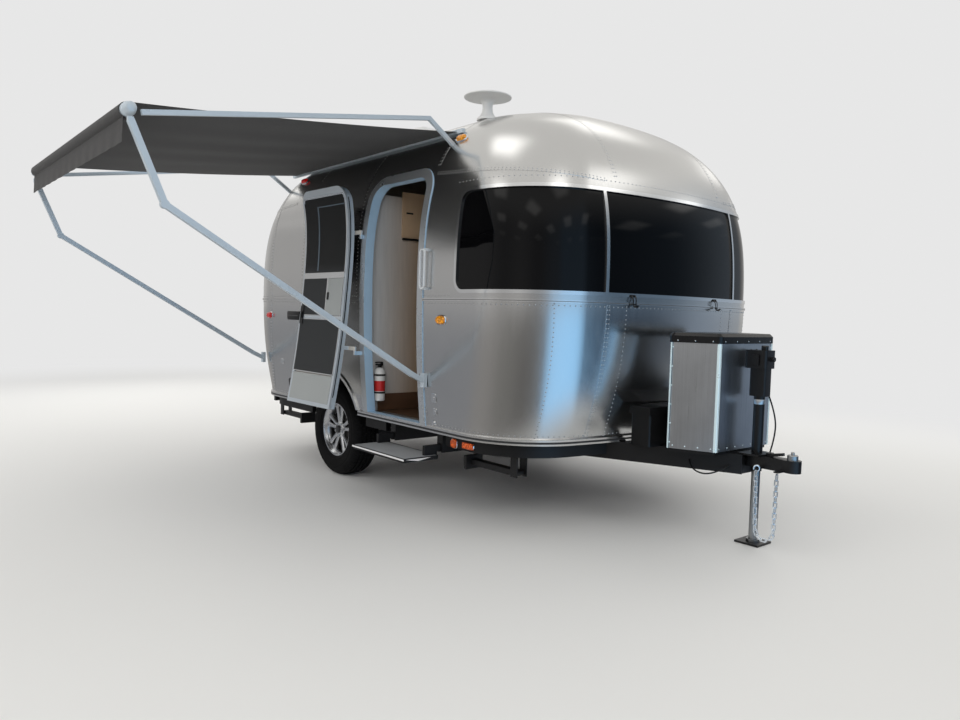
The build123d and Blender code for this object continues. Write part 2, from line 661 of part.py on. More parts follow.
for x, y, z in (CHAIN_ROUTE[0], CHAIN_ROUTE[-1]):
    coupler += block((x - 14, x + 14), (y - 12, -COUPLER_WIDTH / 2 + 2), (coupler_low + 2, coupler_low + 10))
keep("coupler", coupler)

# Tongue jack: outer tube through its mounting plate, power head and sliding leg
head_low, head_mid, head_high = JACK_HEAD_Z
jack_low = 430.0
plate_z = deck_z
jack = block((JACK_X - 75, JACK_X + 60), (-85, 85), (plate_z, plate_z + 10))
jack += rod((JACK_X, 0, plate_z), (JACK_X, 0, head_low), JACK_TUBE_R)
jack_hole = rod((JACK_X, 0, jack_low - 1), (JACK_X, 0, head_low - 10), JACK_LEG_R + JACK_GAP)
jack += rod((JACK_X, 0, jack_low), (JACK_X, 0, plate_z + 1), JACK_TUBE_R)
gearbox = block((JACK_X - 50, JACK_X + 50), (-40, 40), (head_low, head_mid + 1))
jack += fillet(gearbox.edges().filter_by(Axis.Z), 16)
head = block((JACK_X - 75, JACK_X + 60), (-58, 58), (head_mid, head_high))
head = fillet(head.edges().filter_by(Axis.Z), 22)
head += Pos(JACK_X + 20, 0, head_high + 10) * Cylinder(20, 20)
head += block((JACK_X - 22, JACK_X + 22), (-68, -56), (head_mid + 20, head_high - 25))
head += rod((JACK_X + 58, 0, head_mid + 55), (JACK_X + 84, 0, head_mid + 55), 13)
jack += head
jack -= jack_hole
keep("jack_body", jack)
leg_top = jack_low + 60 + 40
jack_leg = rod((JACK_X, 0, 12), (JACK_X, 0, leg_top), JACK_LEG_R)
jack_leg += Pos(JACK_X, 0, 6) * Box(150, 150, 12)
jack_leg += Pos(JACK_X, 0, 19) * Cylinder(38, 14)
keep("jack_leg", jack_leg)
nodes["coupler"] -= rod((JACK_X, 0, 300), (JACK_X, 0, plate_z), JACK_TUBE_R + SEAT_GAP)

# Gas bottle cover: brushed side wrap with a black lid, on the tray of the A-frame
cover_low, lid_low, lid_high = COVER_Z
cover = extrude(cover_face(0), lid_low - cover_low)
cover = fillet(cover.edges().filter_by(Axis.Z), 30)
inside = extrude(cover_face(-12), lid_low - cover_low)
inside = fillet(inside.edges().filter_by(Axis.Z), 18)
keep("bottle_cover", Pos(0, 0, cover_low) * (cover - inside))
lid = extrude(cover_face(8), lid_high - lid_low)
lid = fillet(lid.edges().filter_by(Axis.Z), 36)
lid = chamfer(lid.faces().sort_by(Axis.Z)[-1].edges(), 18)
keep("bottle_lid", Pos(0, 0, lid_low) * lid)

# Battery box on the A-frame behind the cover
battery = block(BATTERY_X, (-BATTERY_Y, BATTERY_Y), (deck_z, BATTERY_TOP_Z))
battery = fillet(battery.edges().filter_by(Axis.Z), 20)
battery += block((BATTERY_X[0] - 4, BATTERY_X[1] + 4), (-BATTERY_Y - 8, BATTERY_Y + 8),
                 (BATTERY_TOP_Z - 36, BATTERY_TOP_Z + 10))
keep("battery_box", battery)

# Safety chain: links hanging in a bight from two lugs of the coupler
def link():
    """One chain link with clipped corners, its long side on X and its thickness on Z."""
    def ring(length, width):
        clip = width * 0.3
        half_length, half_width = length / 2, width / 2
        quarter = [(half_length, half_width - clip), (half_length - clip, half_width)]
        points = quarter + [(-x, y) for x, y in reversed(quarter)]
        return make_face(Polyline(*points, *[(-x, -y) for x, y in points], close=True))

    outer = ring(LINK_INNER + 2 * LINK_WIRE, LINK_WIDTH)
    inner = ring(LINK_INNER, LINK_WIDTH - 2 * LINK_WIRE)
    return Pos(0, 0, -LINK_WIRE / 2) * extrude(outer - inner, LINK_WIRE)


def chain(route):
    """Links strung along a route, each from one pivot to the next, every second one turned."""
    start, left, bottom, right, end = [Vector(*point) for point in route]
    curve = Wire([Edge.make_line(start, left), Edge.make_three_point_arc(left, bottom, right),
                  Edge.make_line(right, end)])
    pivots = [curve @ 0]
    for i in range(1, 4001):
        if (curve @ (i / 4000) - pivots[-1]).length >= LINK_INNER - LINK_GAP:
            pivots.append(curve @ (i / 4000))
    links = []
    for i, (start, end) in enumerate(zip(pivots, pivots[1:])):
        along = end - start
        flat = Vector(0, 1, 0)
        face = flat if i % 2 else along.cross(flat)
        links.append(Plane(origin=(start + end) / 2, x_dir=along, z_dir=face) * link())
    return links


keep("safety_chains", group(chain(CHAIN_ROUTE)))


# Cables of the drawbar: one down from the jack's head, one slung under the A-frame
def cable(name, route):
    points = [Vector(*point) for point in route]
    radii = []
    for before, here, after in zip(points, points[1:], points[2:]):
        turn = math.radians((here - before).get_angle(after - here))
        run = min((here - before).length, (after - here).length)
        radii.append(0.45 * run / math.tan(turn / 2))
    path = FilletPolyline(*points, radius=radii)
    print(name, "length", round(path.length), "radii", [round(radius) for radius in radii])
    plane = Plane(origin=points[0], z_dir=points[1] - points[0])
    return sweep(plane * Circle(CABLE_R), path=path)


keep("jack_cable", cable("jack_cable", JACK_CABLE))
keep("tow_cable", cable("tow_cable", TOW_CABLE))

# Lamps on the skin: amber forward, red aft
def lamp(x, z, side, lean=0.0):
    """Oval lens on a side of the body, its back cut to the skin; lean tips it upwards."""
    y = side * (body_size(z)[0] - LAMP_BURY)
    lens = extrude(SlotOverall(*LAMP_SIZE), LAMP_DEPTH + LAMP_BURY)
    lens = chamfer(lens.faces().sort_by(Axis.Z)[-1].edges(), LAMP_DEPTH * 0.4)
    plane = Plane(origin=(x, y, z), x_dir=(1, 0, 0), z_dir=(0, side, math.tan(math.radians(lean))))
    return plane * lens - body_solid(-SEAT_GAP)


def lamps(table):
    return group([lamp(x, z, side, lean) for x, z, lean in table for side in (-1, 1)])


skirt_y = body_size(FLOOR_Z)[0] - SKIRT_INSET + SEAT_GAP
amber = list(lamps(AMBER_LAMPS).solids())
red = list(lamps(RED_LAMPS).solids())
for side in (-1, 1):
    (x, z, length), (long_x, long_z, long_length) = SKIRT_LAMPS
    amber.append(rod((x, side * skirt_y, z), (x, side * (skirt_y + 14), z), length / 2).solid())
    amber.append(block((long_x - long_length / 2, long_x + long_length / 2),
                       (side * skirt_y, side * (skirt_y + 14)), (long_z - 18, long_z + 18)))
    inner_y, outer_y, low, high = TAIL_LAMP
    red.append(band(-FRAME_PROUD - 9, -SEAT_GAP, block((REAR_X - 50, REAR_X + 500),
                                                       (side * inner_y, side * outer_y), (low, high))))
keep("marker_lamps_amber", group(amber))
keep("marker_lamps_red", group(red))

# Flush service hatches low on the street side
hatches = [side_prism(x, z, 1, 25) for x, z in SERVICE_HATCHES]
keep("service_hatches", group([band(-FRAME_PROUD, -SEAT_GAP, prism) for prism in hatches]))

# Bumper across the rear
bumper = block((REAR_X - BUMPER_REACH, REAR_X - BUMPER_REACH + 60), (-760, 760), (deck_z - 95, deck_z - 5))
for side in (-1, 1):
    bumper += block((REAR_X - BUMPER_REACH + 30, REAR_X + 160), (side * RAIL_Y - 24, side * RAIL_Y + 24),
                    (deck_z - 80, deck_z - 20))
keep("rear_bumper", bumper)

# Awning: rail on the roof edge, roller with end caps, fabric, arms and rafters
rail_y = -(body_size(AWNING_RAIL_Z)[0])
rail_out = rail_y - 18
awning_rail = block(AWNING_X, (rail_out - 10, rail_out + 14), (AWNING_RAIL_Z - 12, AWNING_RAIL_Z + 16))
awning_rail -= body_solid(-SEAT_GAP)
caps = []
roller = rod((AWNING_X[0] + 30, ROLLER_Y, ROLLER_Z), (AWNING_X[1] - 30, ROLLER_Y, ROLLER_Z), ROLLER_R)
for x, way in ((AWNING_X[0], 1), (AWNING_X[1], -1)):
    caps.append(rod((x - 22 * way, ROLLER_Y, ROLLER_Z), (x + 30 * way, ROLLER_Y, ROLLER_Z), ROLLER_R + 6))
keep("awning_roller", group([joined([roller] + caps), awning_rail]))
fabric_x = (AWNING_X[0] + 60, AWNING_X[1] - 60)
start = Vector(0, rail_out - 10 - SOFT_GAP, AWNING_RAIL_Z + 2)
end = Vector(0, ROLLER_Y, ROLLER_Z + ROLLER_R + FABRIC_THICK / 2 + SOFT_GAP)
middle = (start + end) / 2 - Vector(0, 0, FABRIC_SAG)
half_thick = FABRIC_THICK / 2
sheet = make_face(Polyline((start.Y, start.Z - half_thick), (start.Y, start.Z + half_thick))
                  + ThreePointArc((start.Y, start.Z + half_thick), (middle.Y, middle.Z + half_thick),
                                  (end.Y, end.Z + half_thick))
                  + Polyline((end.Y, end.Z + half_thick), (end.Y, end.Z - half_thick))
                  + ThreePointArc((end.Y, end.Z - half_thick), (middle.Y, middle.Z - half_thick),
                                  (start.Y, start.Z - half_thick)))
fabric = Pos(fabric_x[0], 0, 0) * extrude(Plane.YZ * sheet, fabric_x[1] - fabric_x[0])
valance_y = ROLLER_Y - ROLLER_R - SOFT_GAP
valance = block(fabric_x, (valance_y - FABRIC_THICK, valance_y), (ROLLER_Z - VALANCE_DROP, ROLLER_Z + 10))
keep("awning_fabric", group([fabric, valance]))
arms, rafters = [], []
for x in AWNING_X:
    skin = -body_size(ARM_FOOT_Z + 45)[0] - SEAT_GAP
    foot = (x, skin - 24, ARM_FOOT_Z)
    knee = (x, skin - 110, ARM_FOOT_Z + 42)
    elbow = (x, -2838.0, 1812.0)
    tip = (x, ROLLER_Y, ROLLER_Z - ROLLER_R - 20)
    arm = bar(foot, knee, ARM_SIZE, ARM_SIZE) + bar(knee, elbow, ARM_SIZE, ARM_SIZE)
    arm += bar(elbow, tip, ARM_SIZE, ARM_SIZE)
    arm += rod((x - 16, elbow[1], elbow[2]), (x + 16, elbow[1], elbow[2]), 22)
    arm += rod((x - 16, knee[1], knee[2]), (x + 16, knee[1], knee[2]), 17)
    arm += block((x - 20, x + 20), (skin - 26, skin), (ARM_FOOT_Z - 45, ARM_FOOT_Z + 45))
    arm += block((x - 12, x + 12), (ROLLER_Y - 14, ROLLER_Y + 14), (tip[2] - 6, ROLLER_Z - ROLLER_R - 6))
    arms.append(arm)
    tip = (x, ROLLER_Y + ROLLER_R + 12, ROLLER_Z - 14)
    bend = (x, *RAFTER_BEND)
    foot = Vector(x, -body_size(RAFTER_FOOT_Z)[0], RAFTER_FOOT_Z)
    base = Vector(*bend) + (foot - Vector(*bend)) * 1.6
    rafter = bar(tip, bend, 22, 26) + bar(bend, (x, base.Y, base.Z), 22, 26)
    rafter += rod((x - 11, bend[1], bend[2]), (x + 11, bend[1], bend[2]), 13)
    rafters.append(rafter - body_solid(-SEAT_GAP))
keep("awning_arms", group(arms + rafters))

# Entry step on two slides
tread = block(STEP_X, STEP_Y, (STEP_Z, STEP_Z + TREAD_THICK))
tread = fillet(tread.edges().filter_by(Axis.Z), 20)
slide_low = STEP_Z + TREAD_THICK + 10
arm_z = (slide_low + 15, slide_low + 55)
slide_y = (-1100.0, -RAIL_Y - RAIL_WIDTH / 2)
arm_end = slide_y[1] - STEP_TRAVEL - 15
slides = []
for x in (STEP_X[0] + 40, STEP_X[1] - 40):
    tread += block((x - 12, x + 12), (STEP_Y[1] - 100, STEP_Y[1]), (STEP_Z + 5, arm_z[1]))
    tread += block((x - 12, x + 12), (STEP_Y[1] - 100, arm_end), arm_z)
    slide = block((x - 30, x + 30), slide_y, (slide_low, deck_z))
    slide -= block((x - 17, x + 17), (slide_y[0] - 1, slide_y[1] - 10), (slide_low - 1, arm_z[1] + 5))
    for cheek in (-1, 1):
        slide += block((x + cheek * (12 + SEAT_GAP), x + cheek * 18), (slide_y[0], slide_y[0] + 40), arm_z)
    slides.append(slide - chassis)
keep("entry_step", tread)
chassis -= rod((JACK_X, 0, 300), (JACK_X, 0, plate_z), JACK_TUBE_R + SEAT_GAP)
keep("chassis_frame", joined([chassis] + slides))

# Interior units, fitted to the walls
def fitted(x, y, z):
    """Hollow unit inside the body, its back along the wall and cut round the wheel wells."""
    unit = block(x, y, (FLOOR_Z, z)) & body_solid(WALL + SEAT_GAP)
    hollow = block((x[0] + BOARD, x[1] - BOARD), (y[0] + BOARD, y[1] - BOARD), (FLOOR_Z - 1, z - BOARD))
    unit -= hollow & body_solid(WALL + SEAT_GAP + BOARD)
    for side in (-1, 1):
        unit -= block((AXLE_X - ARCH_R - 10, AXLE_X + ARCH_R + 10),
                      (side * (WELL_INNER_Y - 10), side * 1400), (0, ARCH_Z + ARCH_R + 10))
    return unit


wardrobe = fitted((-3130.0, DOOR_REAR_X - 30), (-1300.0, -420.0), 2160.0)
galley = fitted((-2950.0, -1950.0), (640.0, 1300.0), 1420.0)
keep("cabinets", group([wardrobe, galley]))
keep("bed", fitted((-4900.0, -3180.0), (-1300.0, 1300.0), 960.0))
seat = fitted((-1620.0, -700.0), (-1300.0, 1300.0), 980.0)
seat -= block((-1621.0, -1280.0), (-620.0, 620.0), (FLOOR_Z - 1, 1000.0))
seat += block((-1280.0, -1280.0 + BOARD), (-620.0, 620.0), (FLOOR_Z, 980.0))
for side in (-1, 1):
    seat += block((-1620.0, -1270.0), (side * 620.0, side * (620.0 + BOARD)), (FLOOR_Z, 980.0))
table = block((-1600.0, -1000.0), (-380.0, 380.0), (1230.0, 1260.0))
table = fillet(table.edges().filter_by(Axis.Z), 60)
table += Pos(-1420, 0, (FLOOR_Z + 1230) / 2) * Cylinder(35, 1230 - FLOOR_Z)
keep("dinette", group([seat, table]))
cabinet_face_x = DOOR_REAR_X - 30
bottle_x, bottle_y = cabinet_face_x + 42 + SEAT_GAP, -1060.0
extinguisher = Pos(bottle_x, bottle_y, 760) * Cylinder(42, 240)
extinguisher += Pos(bottle_x, bottle_y, 895) * Cylinder(22, 40)
extinguisher += Pos(bottle_x, bottle_y, 925) * Box(60, 26, 26)
extinguisher -= block((-3000.0, cabinet_face_x + SEAT_GAP), (-1300.0, 0.0), (0.0, FAR))
keep("fire_extinguisher", extinguisher)

# Stabiliser legs, stowed flat under the floor
for name, x, side, way in LEG_STATIONS:
    y = side * LEG_Y
    leg = block((x, x + way * LEG_LENGTH), (y - LEG_WIDTH / 2, y + LEG_WIDTH / 2),
                (LEG_PIVOT_Z - LEG_HEIGHT / 2, LEG_PIVOT_Z + LEG_HEIGHT / 2))
    leg += rod((x, y - LEG_WIDTH / 2, LEG_PIVOT_Z), (x, y + LEG_WIDTH / 2, LEG_PIVOT_Z), LEG_HEIGHT / 2)
    foot_x = x + way * (LEG_LENGTH + 6)
    leg += block((foot_x - 14, foot_x + 14), (y - 70, y + 70), (LEG_PIVOT_Z - 45, LEG_PIVOT_Z + 45))
    leg -= rod((x, y - LEG_WIDTH, LEG_PIVOT_Z), (x, y + LEG_WIDTH, LEG_PIVOT_Z), 8.3)
    keep("stabiliser_" + name, leg)

# Roof: disc antenna on a stalk, vent and cooling unit
roof_flat_z = BELT_Z + (ROOF_Z - BELT_Z) * LEVEL_SHARES[-1]
antenna_x, antenna_y, antenna_z = ANTENNA
antenna = Pos(antenna_x, antenna_y, antenna_z - 60) * Cylinder(45, 120)
antenna += Pos(antenna_x, antenna_y, antenna_z - 130) * Cylinder(75, 60)
disc = Pos(antenna_x, antenna_y, antenna_z + 17) * Cylinder(170, 34)
antenna += chamfer(disc.edges(), 11)
keep("roof_antenna", antenna - body_solid(-SEAT_GAP))
vent = block((-2850.0, -2450.0), (-200.0, 200.0), (roof_flat_z + SEAT_GAP, roof_flat_z + 70))
vent = fillet(vent.edges().filter_by(Axis.Z), 40)
vent = chamfer(vent.faces().sort_by(Axis.Z)[-1].edges(), 20)
cooler = block((-3950.0, -3250.0), (-330.0, 330.0), (roof_flat_z + SEAT_GAP, COOLER_TOP_Z))
cooler = fillet(cooler.edges().filter_by(Axis.Z), 90)
cooler = chamfer(cooler.faces().sort_by(Axis.Z)[-1].edges(), 45)
keep("roof_units", group([vent, cooler]))

for name, shape in nodes.items():
    if shape is None:
        print("EMPTY", name)
        continue
    solids = shape.solids()
    moved = Pos(0, 0, -BALL_HEIGHT) * (solids[0] if len(solids) == 1 else Compound(list(solids)))
    export_step(moved, "parts/" + name + ".step")
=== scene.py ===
# Travel caravan with a riveted aluminium body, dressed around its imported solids.
# Metres. X points forward to the coupler, Y to the street side, Z up; z is 0 at the ball
# socket, and the ground lies 0.48 below it.
import json
import math
import bmesh
import bpy
import numpy as np
from mathutils import Matrix, Vector

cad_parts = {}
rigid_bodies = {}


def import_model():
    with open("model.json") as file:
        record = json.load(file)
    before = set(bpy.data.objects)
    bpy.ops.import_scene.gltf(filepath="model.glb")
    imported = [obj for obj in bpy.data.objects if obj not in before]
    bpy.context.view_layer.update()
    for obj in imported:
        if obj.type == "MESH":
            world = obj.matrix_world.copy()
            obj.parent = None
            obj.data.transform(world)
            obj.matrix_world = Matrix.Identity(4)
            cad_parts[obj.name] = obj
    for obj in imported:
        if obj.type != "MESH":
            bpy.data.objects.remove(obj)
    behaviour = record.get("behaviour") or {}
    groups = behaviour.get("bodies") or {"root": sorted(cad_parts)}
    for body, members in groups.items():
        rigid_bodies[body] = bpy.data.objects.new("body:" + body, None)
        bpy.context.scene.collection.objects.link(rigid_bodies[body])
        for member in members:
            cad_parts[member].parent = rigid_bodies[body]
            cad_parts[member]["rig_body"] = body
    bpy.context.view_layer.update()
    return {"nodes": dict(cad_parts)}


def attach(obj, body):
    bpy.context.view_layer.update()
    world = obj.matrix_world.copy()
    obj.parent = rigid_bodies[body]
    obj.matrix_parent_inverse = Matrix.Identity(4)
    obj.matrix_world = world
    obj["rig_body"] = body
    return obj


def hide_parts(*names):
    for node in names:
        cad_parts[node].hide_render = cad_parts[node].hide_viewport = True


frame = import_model()

# Camera: stands low beyond the drawbar on the door side, as the photograph was taken,
# with the slight roll of a hand-held shot.
def shown(name, data):
    """Add an object to the scene; returns it."""
    made = bpy.data.objects.new(name, data)
    bpy.context.scene.collection.objects.link(made)
    return made


GROUND_Z = -0.480
CAMERA_PLACE = Vector((2.11048, -4.05624, 1.29995 + GROUND_Z))
CAMERA_YAW, CAMERA_PITCH, CAMERA_ROLL = 2.449791, -0.0605149, 0.02655053
FOCAL_SHARE = 755.99 / 960
ahead = Vector((math.cos(CAMERA_PITCH) * math.cos(CAMERA_YAW),
                math.cos(CAMERA_PITCH) * math.sin(CAMERA_YAW), math.sin(CAMERA_PITCH)))
level = ahead.cross(Vector((0, 0, 1))).normalized()
upward = level.cross(ahead)
right = math.cos(CAMERA_ROLL) * level + math.sin(CAMERA_ROLL) * upward
upward = right.cross(ahead)
camera_data = bpy.data.cameras.new("camera")
camera_data.sensor_width = 36.0
camera_data.lens = 36.0 * FOCAL_SHARE
camera_data.clip_end = 900.0
camera = shown("camera", camera_data)
camera.matrix_world = Matrix.Translation(CAMERA_PLACE) @ Matrix(
    (right, upward, -ahead)).transposed().to_4x4()
bpy.context.scene.camera = camera
bpy.context.scene.view_settings.view_transform = "Standard"


# Studio: a pale floor and a pale surround. What the bright metal mirrors is a hall: walls
# with broad lighter and darker uprights and rows of soft panels overhead. Large soft lamps.
def material(name, base, rough, metallic=0.0, **sockets):
    """Material with a principled shader; returns it with its tree and shader."""
    made = bpy.data.materials.new(name)
    made.use_nodes = True
    shader = made.node_tree.nodes["Principled BSDF"]
    shader.inputs["Base Color"].default_value = (*base, 1.0)
    shader.inputs["Roughness"].default_value = rough
    shader.inputs["Metallic"].default_value = metallic
    for socket, value in sockets.items():
        shader.inputs[socket.replace("_", " ")].default_value = value
    return made, made.node_tree, shader


def node(tree, kind, links=(), **settings):
    """Add a node; links pairs an input name with a value or another node's output."""
    made = tree.nodes.new(kind)
    for key, value in settings.items():
        setattr(made, key, value)
    for key, value in links:
        if isinstance(value, bpy.types.NodeSocket):
            tree.links.new(value, made.inputs[key])
        else:
            made.inputs[key].default_value = value
    return made


def calc(tree, what, *values):
    """Reckon with numbers; returns the output."""
    return node(tree, "ShaderNodeMath", enumerate(values), operation=what).outputs[0]


def vector_calc(tree, what, first, *second):
    """Reckon with vectors or colours; returns the output, a number where a length is asked."""
    key = "Scale" if what == "SCALE" else 1
    made = node(tree, "ShaderNodeVectorMath", [(0, first)] + [(key, value) for value in second],
                operation=what)
    return made.outputs["Value" if what == "LENGTH" else "Vector"]


def ranged(tree, value, low, high, to_low=0.0, to_high=1.0, smooth=False):
    """Map what lies between low and high onto another range, and clamp it there."""
    return node(tree, "ShaderNodeMapRange", [
        ("Value", value), ("From Min", low), ("From Max", high), ("To Min", to_low), ("To Max", to_high)],
        interpolation_type="SMOOTHSTEP" if smooth else "LINEAR").outputs["Result"]


def blended(tree, share, first, second):
    """Mix two colours; returns the output."""
    return node(tree, "ShaderNodeMix", [("Factor", share), ("A", first), ("B", second)],
                data_type="RGBA").outputs["Result"]


def object_place(tree):
    """Where a shaded point lies on its object; returns the output."""
    return node(tree, "ShaderNodeTexCoord").outputs["Object"]


def axes(tree, vector):
    """The three numbers of a vector; returns the outputs X, Y and Z."""
    return node(tree, "ShaderNodeSeparateXYZ", [("Vector", vector)]).outputs


def drive(target, **outputs):
    """Lead outputs into inputs of a shader or a group's end."""
    for socket, output in outputs.items():
        target.id_data.links.new(output, target.inputs[socket.replace("_", " ")])


def fill_ramp(ramp, stops):
    """Set the colours of a ramp that runs round the compass, from -180 to 180 degrees."""
    ramp.interpolation = "EASE"
    ramp.elements.remove(ramp.elements[1])
    for count, (bearing, colour) in enumerate(stops):
        at = (bearing + 180) / 360
        stop = ramp.elements.new(at) if count else ramp.elements[0]
        stop.position = at
        stop.color = (*colour, 1)


FLOOR_COLOUR = (0.80, 0.80, 0.79)
BACKDROP_COLOUR = (0.80, 0.80, 0.80, 1)
FLOOR_REACH = 260
FROM_MIDDLE = (2.85, 0.0, -GROUND_Z)  # shift to measure from the ground under the body's middle
FROM_CORNER = (1.35, 0.70, 0.0)  # shift to measure from the near front corner
floor_mesh = bpy.data.meshes.new("floor")
floor_mesh.from_pydata([(x * FLOOR_REACH, y * FLOOR_REACH, GROUND_Z)
                        for x, y in ((-1, -1), (1, -1), (1, 1), (-1, 1))], [], [(0, 1, 2, 3)])
floor = shown("floor", floor_mesh)
floor_material, tree, shader = material("pale_floor", FLOOR_COLOUR, 0.55, Specular_IOR_Level=0.25)
place = object_place(tree)
moved = vector_calc(tree, "ADD", place, FROM_MIDDLE)
shaped = vector_calc(tree, "MULTIPLY", moved, (0.62, 1.0, 1.0))
distance = vector_calc(tree, "LENGTH", shaped)
far = ranged(tree, distance, 3.6, 8.0, smooth=True)
corner = vector_calc(tree, "ADD", place, FROM_CORNER)
split = axes(tree, corner)
bearing = calc(tree, "ARCTAN2", split["Y"], split["X"])
bearing = ranged(tree, bearing, -math.pi, math.pi)
painted_reflection_bands = node(tree, "ShaderNodeValToRGB", [("Fac", bearing)])
# Glossy rays see the floor away from the body glow with these bands: painted reflections in the metal, such
# as the cyan streak low on the front.
FLOOR_PAINTED_REFLECTIONS = (  # bearing in degrees from the near front corner, colour seen in the metal
    (-180, (0.36, 0.35, 0.34)), (-150, (0.24, 0.25, 0.27)), (-110, (0.28, 0.27, 0.26)),
    (-80, (0.20, 0.195, 0.185)), (-55, (0.15, 0.145, 0.14)), (-34, (0.20, 0.21, 0.22)),
    (-24, (0.46, 0.84, 1.26)), (12, (0.44, 0.84, 1.28)), (25, (0.034, 0.052, 0.085)),
    (44, (0.036, 0.052, 0.082)), (62, (0.24, 0.29, 0.36)), (95, (0.44, 0.44, 0.43)),
    (140, (0.32, 0.32, 0.31)), (179, (0.36, 0.35, 0.34)),
)
fill_ramp(painted_reflection_bands.color_ramp, FLOOR_PAINTED_REFLECTIONS)
path = node(tree, "ShaderNodeLightPath")
clear_of_it = ranged(tree, distance, 1.55, 2.3, smooth=True)
mirrored = calc(tree, "MULTIPLY", clear_of_it, path.outputs["Is Glossy Ray"])
painted_reflection_glow = node(tree, "ShaderNodeEmission", [("Color", painted_reflection_bands.outputs["Color"]), ("Strength", 1.0)])
in_metal = node(tree, "ShaderNodeMixShader", [
    (0, mirrored), (1, shader.outputs["BSDF"]), (2, painted_reflection_glow.outputs["Emission"])])
backdrop = node(tree, "ShaderNodeEmission", [("Color", BACKDROP_COLOUR), ("Strength", 1.0)])
distant = calc(tree, "MULTIPLY", far, path.outputs["Is Camera Ray"])
mixed = node(tree, "ShaderNodeMixShader", [
    (0, distant), (1, in_metal.outputs["Shader"]), (2, backdrop.outputs["Emission"])])
drive(tree.nodes["Material Output"], Surface=mixed.outputs["Shader"])
floor_mesh.materials.append(floor_material)

world = bpy.data.worlds.new("studio")
bpy.context.scene.world = world
world.use_nodes = True
tree = world.node_tree
surround = tree.nodes["Background"]
way_out = node(tree, "ShaderNodeTexCoord").outputs["Generated"]
split = axes(tree, way_out)
sky = ranged(tree, split["Z"], 0.0, 0.7, 0.60, 0.42)
turn = calc(tree, "ARCTAN2", split["Y"], split["X"])
turn = ranged(tree, turn, -math.pi, math.pi)
uprights = node(tree, "ShaderNodeValToRGB", [("Fac", turn)])
UPRIGHTS = (  # bearing in degrees, brightness and coolness of the surround there
    (-180, 0.95, 0), (-150, 0.70, 0), (-120, 1.05, 0), (-92, 0.75, 0), (-70, 0.95, 0), (-45, 0.60, 0.1),
    (-22, 0.85, 0.7), (-10, 1.08, 1.3), (14, 1.08, 1.3), (30, 0.22, 1.3), (48, 0.28, 1.2), (72, 0.72, 0.7),
    (95, 0.95, 0), (140, 1.05, 0), (179, 0.95, 0),
)
fill_ramp(uprights.color_ramp, [
    (bearing, (shade * (1 - 0.25 * cool), shade * 0.985, shade * (0.97 + 0.28 * cool)))
    for bearing, shade, cool in UPRIGHTS])
overhead = ranged(tree, split["Z"], 0.25, 0.60, smooth=True)
banded = blended(tree, overhead, uprights.outputs["Color"], (1.62, 1.59, 1.53, 1))
walls = vector_calc(tree, "SCALE", banded, sky)
# Rows of soft ceiling panels, laid out on a plane overhead
rise = calc(tree, "MAXIMUM", split["Z"], 0.05)
edges = []
for axis, pitch, offset, half in (("X", 1.45, 0.45, 0.24), ("Y", 1.15, 0.25, 0.17)):
    across = calc(tree, "DIVIDE", split[axis], rise)
    moved = calc(tree, "ADD", across, offset)
    cell = calc(tree, "WRAP", moved, pitch / 2, -pitch / 2)
    near = calc(tree, "ABSOLUTE", cell)
    edges.append(ranged(tree, near, half + 0.17, half - 0.09, smooth=True))
panels = calc(tree, "MULTIPLY", *edges)
above = ranged(tree, split["Z"], 0.22, 0.42, 0.0, 1.1)
panels = calc(tree, "MULTIPLY", panels, above)
light = vector_calc(tree, "SCALE", (1.0, 0.985, 0.95), panels)
mirrored = vector_calc(tree, "ADD", walls, light)
path = node(tree, "ShaderNodeLightPath")
pale = blended(tree, path.outputs["Is Camera Ray"], mirrored, BACKDROP_COLOUR)
drive(surround, Color=pale)
surround.inputs["Strength"].default_value = 1.0

LAMPS = (  # name, place, aim, width, height, power
    ("lamp_front", (5.5, -7.5, 4.6), (-1.5, 0, 0.6), 5.0, 3.6, 150),
    ("lamp_door_side", (-5.0, -9.0, 3.4), (-3.0, 0, 0.8), 5.5, 2.8, 130),
    ("lamp_street_side", (-2.0, 8.0, 4.5), (-2.6, 0, 0.6), 5.5, 3.0, 140),
    ("lamp_tail", (-11.0, -1.0, 3.6), (-3.5, 0, 0.8), 4.5, 3.0, 110),
)
for name, place, aim, width, tall, power in LAMPS:
    lamp_data = bpy.data.lights.new(name, "AREA")
    lamp_data.shape = "RECTANGLE"
    lamp_data.size = width
    lamp_data.size_y = tall
    lamp_data.energy = power
    lamp = shown(name, lamp_data)
    lamp.visible_glossy = False
    lamp.matrix_world = Matrix.Translation(place) @ (
        Vector(aim) - Vector(place)).to_track_quat("-Z", "Y").to_matrix().to_4x4()


# Chassis: welded box sections under the floor, painted satin black and clouded by road dust.
# The tray for the gas bottles and the slides of the step are welded to it.
def shared_group(name, inputs, outputs):
    """Empty node group for an effect that several finishes share."""
    group = bpy.data.node_groups.new(name, "ShaderNodeTree")
    for label, kind, value in inputs:
        socket = group.interface.new_socket(label, in_out="INPUT", socket_type=kind)
        socket.default_value = value
    for label, kind in outputs:
        group.interface.new_socket(label, in_out="OUTPUT", socket_type=kind)
    return group, node(group, "NodeGroupInput"), node(group, "NodeGroupOutput")


def mottled(tree, place, scale, detail=2.0, roughness=0.5):
    """Cloudy noise; returns the output."""
    return node(tree, "ShaderNodeTexNoise", [
        ("Vector", place), ("Scale", scale), ("Detail", detail), ("Roughness", roughness)]).outputs["Fac"]


def raised(tree, strength, distance, height):
    """Relief that follows a height; returns the normal."""
    return node(tree, "ShaderNodeBump", [
        ("Strength", strength), ("Distance", distance), ("Height", height)]).outputs["Normal"]


